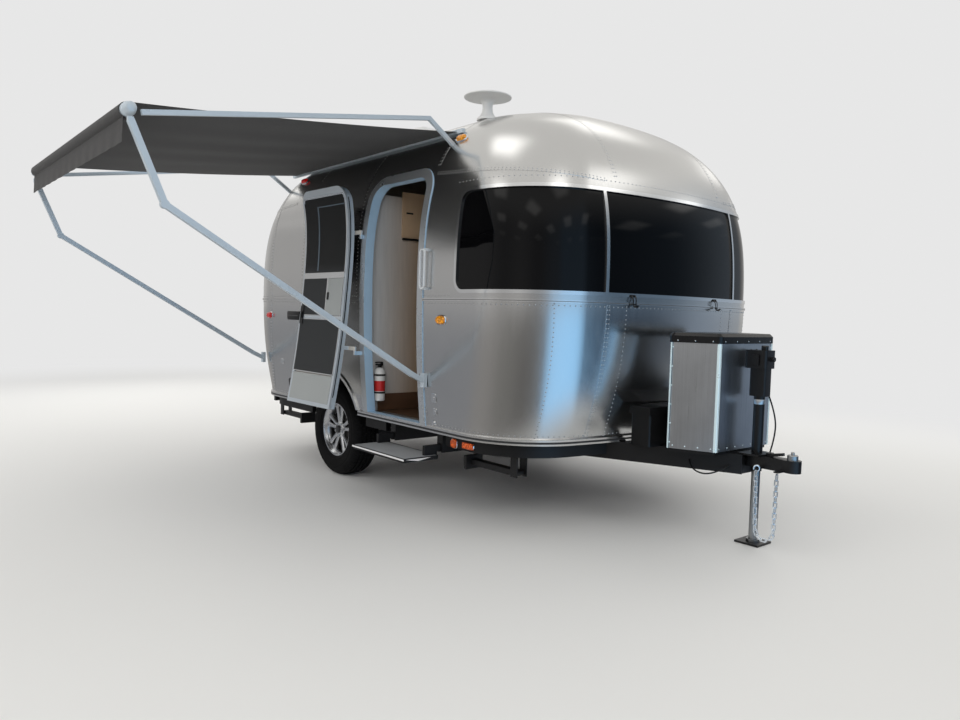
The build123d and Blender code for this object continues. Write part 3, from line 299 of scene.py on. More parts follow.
grained, given, result = shared_group("grained_surface", [
    ("Colour", "NodeSocketColor", (0.5, 0.5, 0.5, 1)), ("Spread", "NodeSocketFloat", 0.2),
    ("Roughness", "NodeSocketFloat", 0.4), ("Grain", "NodeSocketFloat", 300.0)],
    [("Colour", "NodeSocketColor"), ("Roughness", "NodeSocketFloat"), ("Height", "NodeSocketFloat")])
place = object_place(grained)
broad = mottled(grained, place, 4.0, 5.0)
fine = mottled(grained, place, given.outputs["Grain"], 2.0)
tone = calc(grained, "SUBTRACT", broad, 0.5)
shade = calc(grained, "MULTIPLY_ADD", tone, given.outputs["Spread"], 1.0)
tinted = vector_calc(grained, "SCALE", given.outputs["Colour"], shade)
roughened = calc(grained, "MULTIPLY_ADD", tone, 0.25, given.outputs["Roughness"])
drive(result, Colour=tinted, Roughness=roughened, Height=fine)


def coated(name, colour, rough, spread=0.2, grain=300.0, relief=0.15, distance=0.0008, metallic=0.0,
           **sockets):
    """Paint, plastic or rubber with the grained surface."""
    made, tree, shader = material(name, colour, rough, metallic, **sockets)
    pattern = node(tree, "ShaderNodeGroup", node_tree=grained)
    pattern.inputs["Colour"].default_value = (*colour, 1)
    pattern.inputs["Spread"].default_value = spread
    pattern.inputs["Roughness"].default_value = rough
    pattern.inputs["Grain"].default_value = grain
    bump = raised(tree, relief, distance, pattern.outputs["Height"])
    drive(shader, Base_Color=pattern.outputs["Colour"], Roughness=pattern.outputs["Roughness"], Normal=bump)
    return made


def merged_copy(name, cad):
    """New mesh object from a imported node, its loose triangles merged."""
    build = bmesh.new()
    build.from_mesh(frame["nodes"][cad].data)
    bmesh.ops.remove_doubles(build, verts=build.verts, dist=0.00002)
    mesh = bpy.data.meshes.new(name)
    build.to_mesh(mesh)
    build.free()
    mesh.materials.clear()
    return shown(name, mesh)


def settle(piece, finish, body, replaces=()):
    """Give a finished piece its material and tell the frame what it rides on."""
    if finish is not None:
        piece.data.materials.clear()
        piece.data.materials.append(finish)
    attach(piece, body)
    if replaces:
        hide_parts(*replaces)
    return piece


def dress(cad, finish, smooth=32):
    """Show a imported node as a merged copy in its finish, smooth across gentle edges only."""
    piece = merged_copy(cad + "_form", cad)
    build = bmesh.new()
    build.from_mesh(piece.data)
    for face in build.faces:
        face.smooth = True
    for edge in build.edges:
        edge.smooth = len(edge.link_faces) == 2 and edge.calc_face_angle() < math.radians(smooth)
    build.to_mesh(piece.data)
    build.free()
    return settle(piece, finish, frame["nodes"][cad]["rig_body"], [cad])


frame_black = coated("frame_black", (0.009, 0.009, 0.010), 0.40, 0.9, 420.0, 0.12, Specular_IOR_Level=0.35)
dress("chassis_frame", frame_black)
dress("side_skirt", coated("skirt_black", (0.007, 0.007, 0.008), 0.48, 0.5, 500.0, 0.20,
                           Specular_IOR_Level=0.35))


# Axle: square steel tube across under the floor, with a trailing arm and a spindle at each end.
# It is welded up and painted black like the frame.
dress("axle", frame_black)

# Wheels: steel-belted tyres with four grooves and ribbed shoulders, on cast rims with five
# pairs of spokes, a centre cap, wheel nuts and the brake drum behind.
AXLE_PLACE = Vector((-3.200, 1.035, 0.357 + GROUND_Z))
TYRE_R, BEAD_R = 0.357, 0.2093


def piece_of(name, build, finish, body, replaces=(), smooth=40):
    """Turn a bmesh into a finished piece; edges sharper than smooth degrees stay sharp."""
    bmesh.ops.remove_doubles(build, verts=build.verts, dist=0.00001)
    bmesh.ops.recalc_face_normals(build, faces=build.faces)
    for face in build.faces:
        face.smooth = True
    for edge in build.edges:
        if len(edge.link_faces) == 2 and edge.calc_face_angle() > math.radians(smooth):
            edge.smooth = False
    mesh = bpy.data.meshes.new(name)
    build.to_mesh(mesh)
    build.free()
    return settle(shown(name, mesh), finish, body, replaces)


def turned(build, profile, centre, along=Vector((0, 1, 0)), segments=96, closed=False):
    """Add a surface of revolution; profile pairs a radius with a distance along the axis."""
    side = along.orthogonal().normalized()
    other = along.cross(side)
    rings = []
    for k in range(segments):
        angle = 2 * math.pi * k / segments
        out = side * math.cos(angle) + other * math.sin(angle)
        rings.append([build.verts.new(centre + out * radius + along * offset) for radius, offset in profile])
    last = len(profile) if closed else len(profile) - 1
    for k in range(segments):
        here, there = rings[k], rings[(k + 1) % segments]
        for i in range(last):
            j = (i + 1) % len(profile)
            build.faces.new((here[i], here[j], there[j], there[i]))


def lofted(build, sections, endless=False):
    """Add a tube through sections of equally many points; it has caps, or is an endless ring."""
    rings = [[build.verts.new(point) for point in section] for section in sections]
    for here, there in zip(rings, rings[1:] + rings[:1] if endless else rings[1:]):
        for i in range(len(here)):
            j = (i + 1) % len(here)
            build.faces.new((here[i], here[j], there[j], there[i]))
    if not endless:
        build.faces.new(list(reversed(rings[0])))
        build.faces.new(rings[-1])


def slab(build, low, high, bevel=0.0):
    """Add a box between two corners, its edges bevelled."""
    made = bmesh.ops.create_cube(build, size=1.0)["verts"]
    size = [h - l for l, h in zip(low, high)]
    bmesh.ops.scale(build, vec=size, verts=made)
    bmesh.ops.translate(build, vec=[(l + h) / 2 for l, h in zip(low, high)], verts=made)
    if bevel:
        edges = list(dict.fromkeys(edge for vert in made for edge in vert.link_edges))
        bmesh.ops.bevel(build, geom=edges, offset=bevel, segments=2, affect="EDGES", profile=0.7)


RUBBER_COLOUR = (0.005, 0.005, 0.0055)


def rubber(name, centre):
    """Tyre rubber: dull black with dusty tones, and ribs across the shoulders of the tread."""
    made, tree, shader = material(name, RUBBER_COLOUR, 0.80, Specular_IOR_Level=0.14)
    place = object_place(tree)
    moved = vector_calc(tree, "SUBTRACT", place, centre)
    part = axes(tree, moved)
    angle = calc(tree, "ARCTAN2", part["Z"], part["X"])
    wave = calc(tree, "MULTIPLY", angle, 64.0)
    wave = calc(tree, "SINE", wave)
    notch = ranged(tree, wave, 0.55, 0.85)
    flat = node(tree, "ShaderNodeCombineXYZ", [("X", part["X"]), ("Z", part["Z"])])
    radius = vector_calc(tree, "LENGTH", flat.outputs["Vector"])
    tread = ranged(tree, radius, TYRE_R - 0.022, TYRE_R - 0.016)
    ribs = calc(tree, "MULTIPLY", notch, tread)
    rings = calc(tree, "MULTIPLY", radius, 900.0)
    rings = calc(tree, "SINE", rings)
    low = calc(tree, "MULTIPLY_ADD", rings, 0.04, 1.0)
    relief = calc(tree, "SUBTRACT", low, ribs)
    bump = raised(tree, 0.8, 0.006, relief)
    dust = mottled(tree, place, 9.0, 6.0)
    tone = ranged(tree, dust, 0.3, 0.8, 0.7, 1.5)
    tinted = vector_calc(tree, "SCALE", RUBBER_COLOUR, tone)
    drive(shader, Base_Color=tinted, Normal=bump)
    return made


half_profile = [(BEAD_R, 0.0895), (0.2200, 0.0975), (0.2290, 0.1035), (0.2330, 0.1065), (0.2370, 0.1050),
                (0.2420, 0.1065), (0.2620, 0.1108), (0.2850, 0.1120), (0.2920, 0.1118), (0.2935, 0.1104),
                (0.2960, 0.1102), (0.2975, 0.1113), (0.3150, 0.1085), (0.3290, 0.1025), (0.3385, 0.0955),
                (0.3440, 0.0900), (0.3500, 0.0830), (0.3540, 0.0740), (0.3556, 0.0610), (0.3480, 0.0595),
                (0.3480, 0.0530), (0.3563, 0.0515), (0.3570, 0.0240), (0.3485, 0.0225), (0.3485, 0.0150),
                (0.3570, 0.0135)]
tyre_profile = half_profile + [(radius, -offset) for radius, offset in reversed(half_profile)]
cast_alloy = coated("cast_alloy", (0.66, 0.67, 0.69), 0.26, 0.25, 260.0, 0.10, metallic=1.0)
cap_black = coated("cap_black", (0.02, 0.02, 0.022), 0.30, 0.3, 300.0, 0.1)
nut_chrome = coated("nut_chrome", (0.78, 0.79, 0.80), 0.14, 0.1, 200.0, 0.05, metallic=1.0)
drum_iron = coated("drum_iron", (0.055, 0.052, 0.050), 0.62, 0.8, 500.0, 0.4, metallic=0.6)


def spoke(build, centre, out, across, along, spread):
    """Add one spoke: a bar with a crowned face, leaning away from its twin."""
    sections = []
    for radius, lean, width, front, back in (
            (0.040, 0.30, 0.0150, 0.054, 0.034), (0.075, 0.50, 0.0140, 0.058, 0.034),
            (0.120, 0.78, 0.0150, 0.060, 0.036), (0.160, 1.00, 0.0180, 0.063, 0.040),
            (0.186, 1.10, 0.0210, 0.066, 0.044)):
        middle = centre + out * radius + across * (spread * lean * 0.034)
        section = []
        for side, depth in ((-1, back), (-1, front - 0.008), (-0.55, front), (0.55, front),
                            (1, front - 0.008), (1, back)):
            section.append(middle + across * (side * width) + along * depth)
        sections.append(section)
    lofted(build, sections)


for name, side in (("curb", -1), ("street", 1)):
    centre = Vector((AXLE_PLACE.x, side * AXLE_PLACE.y, AXLE_PLACE.z))
    along = Vector((0, side, 0))
    body = name + "_wheel"
    build = bmesh.new()
    turned(build, tyre_profile, centre, along, 128, closed=True)
    piece_of("tyre_" + name + "_rubber", build, rubber("tyre_rubber_" + name, centre), body,
             ["tyre_" + name], smooth=50)
    build = bmesh.new()
    turned(build, [(0.2085, 0.0895), (0.2085, 0.0830), (0.2050, 0.0800), (0.1930, 0.0700), (0.1860, 0.0560),
                   (0.1830, 0.0300), (0.1800, 0.0000), (0.1820, -0.0600), (0.2020, -0.0760),
                   (0.2085, -0.0880), (0.1990, -0.0870), (0.1745, -0.0600), (0.1720, 0.0000),
                   (0.1750, 0.0350), (0.1790, 0.0580), (0.1880, 0.0720), (0.1990, 0.0830),
                   (0.2010, 0.0885)], centre, along, 96, closed=True)
    for i in range(5):
        angle = math.radians(90 + 72 * i)
        out = Vector((math.cos(angle), 0, math.sin(angle)))
        for twin in (-1, 1):
            spoke(build, centre, out, out.cross(along).normalized(), along, twin)
    turned(build, [(0.0, 0.036), (0.060, 0.036), (0.066, 0.042), (0.066, 0.050), (0.060, 0.056),
                   (0.040, 0.060), (0.036, 0.066), (0.0, 0.066)], centre, along, 48)
    piece_of("rim_" + name + "_alloy", build, cast_alloy, body, ["rim_" + name], smooth=35)
    build = bmesh.new()
    turned(build, [(0.0, 0.060), (0.031, 0.060), (0.031, 0.074), (0.027, 0.0785), (0.012, 0.0805),
                   (0.0, 0.081)], centre, along, 40)
    piece_of("centre_cap_" + name, build, cap_black, body)
    build = bmesh.new()
    for i in range(5):
        angle = math.radians(90 + 36 + 72 * i)
        spot = centre + Vector((math.cos(angle), 0, math.sin(angle))) * 0.0505
        turned(build, [(0.0, 0.050), (0.0098, 0.050), (0.0098, 0.066), (0.0080, 0.069), (0.0, 0.070)],
               spot, along, 6)
    piece_of("wheel_nuts_" + name, build, nut_chrome, body, smooth=30)
    build = bmesh.new()
    turned(build, [(0.0, 0.030), (0.120, 0.030), (0.134, 0.026), (0.139, 0.014), (0.139, -0.060),
                   (0.132, -0.066), (0.0, -0.066)], centre, along, 64)
    piece_of("brake_drum_" + name, build, drum_iron, body, smooth=35)


# Coupler: folded steel plates round the ball socket, painted black and welded to the nose of
# the A-frame. A plated nut on its top tightens the clamp under the ball.
dress("coupler", coated("coupler_black", (0.009, 0.009, 0.010), 0.32, 0.9, 350.0, 0.15,
                        Specular_IOR_Level=0.40))
NUT_PLACE = Vector((-0.005, 0, 0.045))
build = bmesh.new()
turned(build, [(0.0, 0.030), (0.026, 0.030), (0.030, 0.026), (0.030, 0.0), (0.0, 0.0)],
       NUT_PLACE, Vector((0, 0, 1)), 32)
turned(build, [(0.0, 0.048), (0.008, 0.046), (0.010, 0.040), (0.010, 0.028), (0.0, 0.028)],
       NUT_PLACE, Vector((0, 0, 1)), 16)
plated_steel = coated("plated_steel", (0.50, 0.50, 0.50), 0.34, 0.4, 300.0, 0.15, metallic=1.0)
piece_of("coupler_cap_nut", build, plated_steel, "caravan")

# Tongue jack: electric, with a grained black moulding over its gear box and a black outer tube
# through the mounting plate, ringed by a bright sleeve. The leg is plated, its foot welded on.
jack_black = coated("jack_black", (0.007, 0.007, 0.008), 0.34, 0.5, 420.0, 0.25, Specular_IOR_Level=0.40)
dress("jack_body", jack_black)
zinc = coated("zinc_plate", (0.62, 0.63, 0.64), 0.36, 0.30, 240.0, 0.12, metallic=1.0)
leg = dress("jack_leg", coated("leg_zinc", (0.34, 0.35, 0.36), 0.30, 0.30, 240.0, 0.10, metallic=1.0))
leg.data.materials.append(jack_black)
for face in leg.data.polygons:  # the welded foot plate is black
    if face.center.z < GROUND_Z + 0.012:
        face.material_index = 1
JACK_X = -0.225
RING_Z, SCREW_Z, PLUG_Z = 0.340, 0.655, 0.675
build = bmesh.new()
up = Vector((0, 0, 1))
turned(build, [(0.0275, 0.0), (0.0305, 0.0), (0.0316, 0.002), (0.0316, 0.028), (0.0305, 0.030),
               (0.0275, 0.030)], Vector((JACK_X, 0, RING_Z)), up, 40, closed=True)
piece_of("jack_silver_ring", build, zinc, "caravan")
build = bmesh.new()
turned(build, [(0.0, 0.0), (0.0205, 0.0), (0.0205, 0.004), (0.018, 0.007), (0.0, 0.0075)],
       Vector((JACK_X + 0.020, 0, PLUG_Z)), up, 32)
for y in (-0.030, 0.030):
    turned(build, [(0.0, 0.0), (0.005, 0.0), (0.005, 0.002), (0.0035, 0.0035), (0.0, 0.004)],
           Vector((JACK_X - 0.050, y, SCREW_Z)), up, 12)
piece_of("jack_crank_cover", build, coated("plug_black", (0.03, 0.03, 0.032), 0.5, 0.4, 300.0, 0.2),
         "caravan")

# Safety chain: welded links of plated steel rod that hang in a bight from two lugs of the
# coupler. The rear end carries a forged hook, which lies over its lug.
chain_zinc = coated("chain_zinc", (0.80, 0.85, 0.90), 0.24, 0.35, 280.0, 0.1, metallic=0.85)
dress("safety_chains", chain_zinc)
build = bmesh.new()
hook, across = Vector((-0.168, -0.094, 0.462 + GROUND_Z)), Vector((0.637, 0.771, 0.0))
rings = []
for step in range(17):  # a forged hook on the chain's rear end, over the lug
    angle = math.radians(-75 + 275 * step / 16)
    way = across * math.cos(angle) + up * math.sin(angle)
    side = across.cross(up)
    thick = 0.0042 + 0.0018 * math.sin(math.pi * step / 16)
    rings.append([hook + way * (0.0165 + thick * math.cos(turn)) + side * thick * math.sin(turn)
                  for turn in (math.tau * k / 12 for k in range(12))])
lofted(build, rings)
piece_of("chain_hook", build, chain_zinc, "caravan", smooth=50)

# Cables: black sheathed wire. One comes down from the jack's head and goes into the drawbar,
# the other hangs in a shallow bight between two clips under the A-frame.
sheath = coated("cable_sheath", (0.007, 0.007, 0.0075), 0.44, 0.5, 500.0, 0.2, Specular_IOR_Level=0.35)


def free_cable(name, points, diameter, cad):
    """A cable along route points given in millimetres above the ground."""
    curve = bpy.data.curves.new(name, "CURVE")
    curve.dimensions = "3D"
    curve.bevel_depth = diameter / 2
    curve.bevel_resolution = 5
    curve.resolution_u = 24
    curve.use_fill_caps = True
    line = curve.splines.new("NURBS")
    line.points.add(len(points) - 1)
    for point, (x, y, z) in zip(line.points, points):
        point.co = (x / 1000, y / 1000, z / 1000 + GROUND_Z, 1)
    line.order_u = 3
    line.use_endpoint_u = True
    curve.materials.append(sheath)
    piece = settle(shown(name, curve), None, "caravan", [cad])
    x, y, z = points[0]


free_cable("jack_supply_cable", ((-185, 36, 866), (-160, 62, 775), (-158, 84, 650), (-180, 66, 537)),
           0.009, "jack_cable")
free_cable("tow_wiring_cable", ((-540, -210.4, 462), (-500, -252, 425), (-420, -245, 398), (-350, -195, 420),
                                (-322, -123.4, 455)), 0.009, "tow_cable")

# Gas bottle cover: one brushed sheet bent round the bottles on the tray of the A-frame, its
# front and middle bends edged by bright corner strips and its foot riveted to the tray.
COVER_FOOT, COVER_HEAD = 0.065, 0.688
COVER_PLAN = ((-0.318, 0.280), (-0.580, 0.380), (-0.670, 0.260))
BRUSHED_COLOUR = (0.62, 0.64, 0.67)
brushed, tree, shader = material("cover_brushed", BRUSHED_COLOUR, 0.34, 1.0)
place = object_place(tree)
stretch = vector_calc(tree, "MULTIPLY", place, (90.0, 90.0, 0.9))
streaks = mottled(tree, stretch, 3.2, 5.0, roughness=0.62)
broad = mottled(tree, place, 5.0, 3.0)
both = calc(tree, "ADD", streaks, broad)
tone = ranged(tree, both, 0.7, 1.3, 0.90, 1.10)
tinted = vector_calc(tree, "SCALE", BRUSHED_COLOUR, tone)
spread = ranged(tree, streaks, 0.3, 0.7, 0.27, 0.36)
bump = raised(tree, 0.06, 0.0006, streaks)
drive(shader, Base_Color=tinted, Roughness=spread, Normal=bump)
dress("bottle_cover", brushed)
dress("bottle_lid", coated("lid_black", (0.006, 0.006, 0.007), 0.28, 0.5, 160.0, 0.35, distance=0.0006,
                           Specular_IOR_Level=0.40))

# The corner strips and their rivets are tinted cyan: a painted reflection of blue sky in the bright metal.
painted_sky_metal = coated("edge_painted_sky", (0.78, 0.95, 1.0), 0.30, 0.04, 300.0, 0.01, metallic=0.25)
build = bmesh.new()
loop = [Vector((x, y, 0)) for x, y in COVER_PLAN] + [Vector((x, -y, 0)) for x, y in reversed(COVER_PLAN)]
for i, spot in enumerate(loop):
    before, after = loop[i - 1] - spot, loop[(i + 1) % len(loop)] - spot
    if spot.x < -0.6:
        continue
    outward = -(before.normalized() + after.normalized()).normalized()
    face_a, face_b = before.normalized(), after.normalized()
    reach = 0.015 if spot.x > -0.4 else 0.007
    end_a, end_b = spot + face_a * reach, spot + face_b * reach
    near_a, near_b = spot + face_a * reach / 3, spot + face_b * reach / 3
    edge_a = face_a.cross(up) if face_a.cross(up).dot(outward) > 0 else -face_a.cross(up)
    edge_b = face_b.cross(up) if face_b.cross(up).dot(outward) > 0 else -face_b.cross(up)
    section = [end_a, end_a + edge_a * 0.0018, near_a + edge_a * 0.0028, spot + outward * 0.0016,
               near_b + edge_b * 0.0028, end_b + edge_b * 0.0018, end_b, spot - outward * 0.002]
    lofted(build, [[p + up * COVER_FOOT for p in section], [p + up * (COVER_HEAD - 0.002) for p in section]])
piece_of("cover_corner_strips", build, painted_sky_metal, "caravan", smooth=65)


def pitched(start, end, spacing):
    """Evenly spaced points between two ends."""
    count = max(2, round((end - start).length / spacing))
    return [start.lerp(end, i / count) for i in range(count + 1)]


def rivet_tree(name):
    """Geometry Nodes tree that sets one domed rivet head on every point of a mesh."""
    tree = bpy.data.node_groups.new(name, "GeometryNodeTree")
    for label, kind, value in (("Geometry", "Geometry", None), ("Radius", "Float", 0.003),
                               ("Height", "Float", 0.0012), ("Seed", "Int", 3), ("Finish", "Material", None)):
        socket = tree.interface.new_socket(label, in_out="INPUT", socket_type="NodeSocket" + kind)
        if value is not None:
            socket.default_value = value
    tree.interface.new_socket("Geometry", in_out="OUTPUT", socket_type="NodeSocketGeometry")
    given = node(tree, "NodeGroupInput")
    done = node(tree, "NodeGroupOutput")
    ball = node(tree, "GeometryNodeMeshUVSphere", [("Segments", 8), ("Rings", 6), ("Radius", 1.0)])
    height = node(tree, "GeometryNodeInputPosition")
    parts = axes(tree, height.outputs["Position"])
    low = node(tree, "FunctionNodeCompare", [(0, parts["Z"]), (1, -0.3)], operation="LESS_THAN")
    dome = node(tree, "GeometryNodeDeleteGeometry", [
        ("Geometry", ball.outputs["Mesh"]), ("Selection", low.outputs["Result"])])
    facing = node(tree, "GeometryNodeInputNamedAttribute", data_type="FLOAT_VECTOR")
    facing.inputs["Name"].default_value = "facing"
    turn = node(tree, "FunctionNodeAlignRotationToVector", [("Vector", facing.outputs["Attribute"])],
                axis="Z")
    vary = node(tree, "FunctionNodeRandomValue", [("Seed", given.outputs["Seed"])], data_type="FLOAT")
    vary.inputs[2].default_value = 0.94
    vary.inputs[3].default_value = 1.06
    wide = calc(tree, "MULTIPLY", given.outputs["Radius"], vary.outputs[1])
    size = node(tree, "ShaderNodeCombineXYZ", [("X", wide), ("Y", wide), ("Z", given.outputs["Height"])])
    points = node(tree, "GeometryNodeMeshToPoints", [("Mesh", given.outputs["Geometry"])])
    placed = node(tree, "GeometryNodeInstanceOnPoints", [
        ("Points", points.outputs["Points"]), ("Instance", dome.outputs["Geometry"]),
        ("Rotation", turn.outputs["Rotation"]), ("Scale", size.outputs["Vector"])])
    solid = node(tree, "GeometryNodeRealizeInstances", [("Geometry", placed.outputs["Instances"])])
    smooth = node(tree, "GeometryNodeSetShadeSmooth", [("Geometry", solid.outputs["Geometry"])])
    finished = node(tree, "GeometryNodeSetMaterial", [
        ("Geometry", smooth.outputs["Geometry"]), ("Material", given.outputs["Finish"])])
    drive(done, Geometry=finished.outputs["Geometry"])
    return tree


riveted = rivet_tree("domed_rivets")


def rivets(name, spots, radius, height, finish, body):
    """Rivet heads on (point, facing) pairs, made by the rivet tree into one mesh."""
    mesh = bpy.data.meshes.new(name + "_points")
    mesh.from_pydata([tuple(point) for point, facing in spots], [], [])
    facing = mesh.attributes.new("facing", "FLOAT_VECTOR", "POINT")
    facing.data.foreach_set("vector", [value for point, way in spots for value in way])
    source = shown(name + "_points", mesh)
    modifier = source.modifiers.new("rivets", "NODES")
    modifier.node_group = riveted
    for item in riveted.interface.items_tree:
        if item.in_out == "INPUT" and item.name in ("Radius", "Height", "Finish"):
            modifier[item.identifier] = {"Radius": radius, "Height": height, "Finish": finish}[item.name]
    bpy.context.view_layer.update()
    made = bpy.data.meshes.new_from_object(source.evaluated_get(bpy.context.evaluated_depsgraph_get()))
    made.name = name
    bpy.data.objects.remove(source)
    return settle(shown(name, made), finish, body)


def cover_sides():
    """Each side of the cover in plan: its two ends, its direction and the way it faces."""
    for start, end in zip(loop, loop[1:] + loop[:1]):
        along = (end - start).normalized()
        out = along.cross(up)
        yield start, end, along, out if out.dot(start + end - Vector((-1.0, 0, 0))) > 0 else -out


spots = []
for start, end, along, out in cover_sides():
    for point in pitched(start + along * 0.03, end - along * 0.03, 0.085):
        spots.append((point + up * (COVER_FOOT + 0.018), out))
    if start.x > -0.6 or end.x > -0.6:
        for spot, way in ((start, along), (end, -along)):
            if spot.x > -0.6:
                for point in pitched(spot + way * 0.012 + up * 0.10, spot + way * 0.012 + up * 0.66, 0.11):
                    spots.append((point, out))
rivets("cover_rivets", spots, 0.0042, 0.0020, painted_sky_metal, "caravan")
spots = []
for start, end, along, out in cover_sides():
    for point in pitched(start + along * 0.04, end - along * 0.04, 0.13):
        spots.append((point + out * 0.0075 + up * (COVER_HEAD + 0.012), out))
rivets("lid_rivets", spots, 0.0045, 0.0022, nut_chrome, "caravan")

# Battery box: black moulding with a closed lid, standing on the A-frame behind the gas
# bottles. Two woven straps hold it down.
dress("battery_box", coated("battery_black", (0.006, 0.006, 0.0065), 0.42, 0.4, 240.0, 0.4,
                            Specular_IOR_Level=0.35))
build = bmesh.new()
for y in (-0.19, 0.19):
    slab(build, (-0.8655, y - 0.019, 0.047), (-0.7045, y + 0.019, 0.2875), 0.0015)
piece_of("battery_straps", build, coated("strap_web", (0.045, 0.045, 0.05), 0.8, 0.5, 900.0, 0.6), "caravan")


# Body skin: satin aluminium sheet riveted over a rounded frame, lined inside with a pale
# board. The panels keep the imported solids' form; their shading follows the curved form.
FLOOR_Z, BELT_Z, ROOF_Z = 0.080, 0.905, 2.228
FRONT_X, REAR_X, HALF_WIDTH = -0.791, -4.882, 1.215
CORNER_R, BOW_R = 0.530, 4.000
SIDE_TUCK, FRONT_TUCK, REAR_TUCK = 0.045, 0.150, 0.122
FRONT_REACH, REAR_REACH = 1.303, 1.017
SIDE_POWER, FRONT_POWER, REAR_POWER = 3.17, 2.96, 2.48


def body_size(z):
    """Half width, front x and rear x of the body at height z."""
    z = np.asarray(z, float)
    share = np.clip((z - BELT_Z) / (ROOF_Z - BELT_Z), 0, 0.9999)
    low = np.clip((BELT_Z - z) / (BELT_Z - FLOOR_Z), 0, 2) ** 2

    def kept(power):
        return (1 - share ** power) ** (1 / power)

    half = HALF_WIDTH * kept(SIDE_POWER) - SIDE_TUCK * low
    fore = FRONT_X - FRONT_REACH * (1 - kept(FRONT_POWER)) - FRONT_TUCK * low
    aft = REAR_X + REAR_REACH * (1 - kept(REAR_POWER)) + REAR_TUCK * low
    return half, fore, aft


def outside(points):
    """Distance in plan of each point from the body's skin, positive outside."""
    x, y, z = points[:, 0], np.abs(points[:, 1]), points[:, 2]
    half, fore, aft = body_size(z)
    corner = np.minimum(CORNER_R, 0.98 * half)
    bow = BOW_R * half / HALF_WIDTH
    reach = np.sqrt((bow - corner) ** 2 - (half - corner) ** 2)
    lean = np.arctan2(half - corner, reach)
    result = y - half
    for tip, way in ((fore, 1), (aft, -1)):
        u = way * (x - (tip - way * (bow - reach)))
        v = y - (half - corner)
        in_corner = np.hypot(u, v) - corner
        in_bow = np.hypot(way * (x - (tip - way * bow)), y) - bow
        result = np.where(u > 0, np.where(np.arctan2(v, u) < lean, in_bow, in_corner), result)
    return result


def skin_normals(points):
    """Outward normals of the body's form at points near its skin."""
    step = 0.0005
    slope = np.empty_like(points)
    for axis in range(3):
        shift = np.zeros(3)
        shift[axis] = step
        slope[:, axis] = outside(points + shift) - outside(points - shift)
    return slope / np.maximum(np.linalg.norm(slope, axis=1, keepdims=True), 1e-12)


def follow_skin(piece, swung=None, lining=None):
    """Shade faces that lie along the body's form by that form, and the rest flat."""
    mesh = piece.data
    count = len(mesh.polygons)
    normals, centres = np.empty(count * 3), np.empty(count * 3)
    points = np.empty(len(mesh.vertices) * 3)
    mesh.polygons.foreach_get("normal", normals)
    mesh.polygons.foreach_get("center", centres)
    mesh.vertices.foreach_get("co", points)
    normals, centres, points = (values.reshape(-1, 3) for values in (normals, centres, points))
    if swung is not None:
        back = np.array(swung.inverted())
        points = points @ back[:3, :3].T + back[:3, 3]
        centres = centres @ back[:3, :3].T + back[:3, 3]
        normals = normals @ back[:3, :3].T
    match = np.einsum("ij,ij->i", skin_normals(centres), normals)
    loop_vertex = np.empty(len(mesh.loops), int)
    mesh.loops.foreach_get("vertex_index", loop_vertex)
    loop_face = np.repeat(np.arange(count), [p.loop_total for p in mesh.polygons])
    at_points = skin_normals(points)[loop_vertex]
    along = np.abs(match[loop_face]) > 0.93
    sign = np.sign(match[loop_face])[:, None]
    shading = np.where(along[:, None], at_points * sign, normals[loop_face])
    if swung is not None:
        shading = shading @ np.array(swung)[:3, :3].T
    mesh.polygons.foreach_set("use_smooth", [True] * count)
    if lining is not None:
        mesh.materials.append(lining)
        mesh.polygons.foreach_set("material_index", (match < -0.5).astype(np.int32))
    mesh.normals_split_custom_set(shading.tolist())
    mesh.update()
    return piece


def dress_curved(cad, name, finish, swung=None, lining=None):
    """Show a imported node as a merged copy, shaded by the form of the body or the swung door."""
    piece = merged_copy(name, cad)
    piece.data.materials.append(finish)
    follow_skin(piece, swung, lining)
    return settle(piece, None, "caravan" if swung is None else "door", [cad])


# Rolled sheet shows faint rolling lines, soft clouding and the slight waves of riveted panels
rolled, given, result = shared_group("rolled_sheet", [
    ("Colour", "NodeSocketColor", (0.7, 0.7, 0.7, 1)), ("Spread", "NodeSocketFloat", 0.06),
    ("Roughness", "NodeSocketFloat", 0.3), ("Along", "NodeSocketVector", (1, 1, 1))],
    [("Colour", "NodeSocketColor"), ("Roughness", "NodeSocketFloat"), ("Height", "NodeSocketFloat")])
place = object_place(rolled)
stretch = vector_calc(rolled, "MULTIPLY", place, given.outputs["Along"])
lines = mottled(rolled, stretch, 90.0, 3.0)
clouds = mottled(rolled, place, 1.7, 4.0, roughness=0.55)
waves = mottled(rolled, place, 3.2, 0.5)
tone = calc(rolled, "ADD", lines, clouds)
tone = calc(rolled, "SUBTRACT", tone, 1.0)
shade = calc(rolled, "MULTIPLY_ADD", tone, given.outputs["Spread"], 1.0)
tinted = vector_calc(rolled, "SCALE", given.outputs["Colour"], shade)
roughened = calc(rolled, "MULTIPLY_ADD", tone, 0.10, given.outputs["Roughness"])
fine = calc(rolled, "MULTIPLY", lines, 0.0006)
relief = calc(rolled, "MULTIPLY_ADD", waves, 1.0, fine)
drive(result, Colour=tinted, Roughness=roughened, Height=relief)


def sheet_metal(name, colour, rough, along=(1, 1, 1), spread=0.10, relief=0.25, distance=0.004):
    """Bare metal with the rolled-sheet pattern."""
    made, tree, shader = material(name, colour, rough, 1.0)
    pattern = node(tree, "ShaderNodeGroup", node_tree=rolled)
    pattern.inputs["Colour"].default_value = (*colour, 1)
    pattern.inputs["Spread"].default_value = spread
    pattern.inputs["Roughness"].default_value = rough
    pattern.inputs["Along"].default_value = along
    bump = raised(tree, relief, distance, pattern.outputs["Height"])
    drive(shader, Base_Color=pattern.outputs["Colour"], Roughness=pattern.outputs["Roughness"], Normal=bump)
    return made


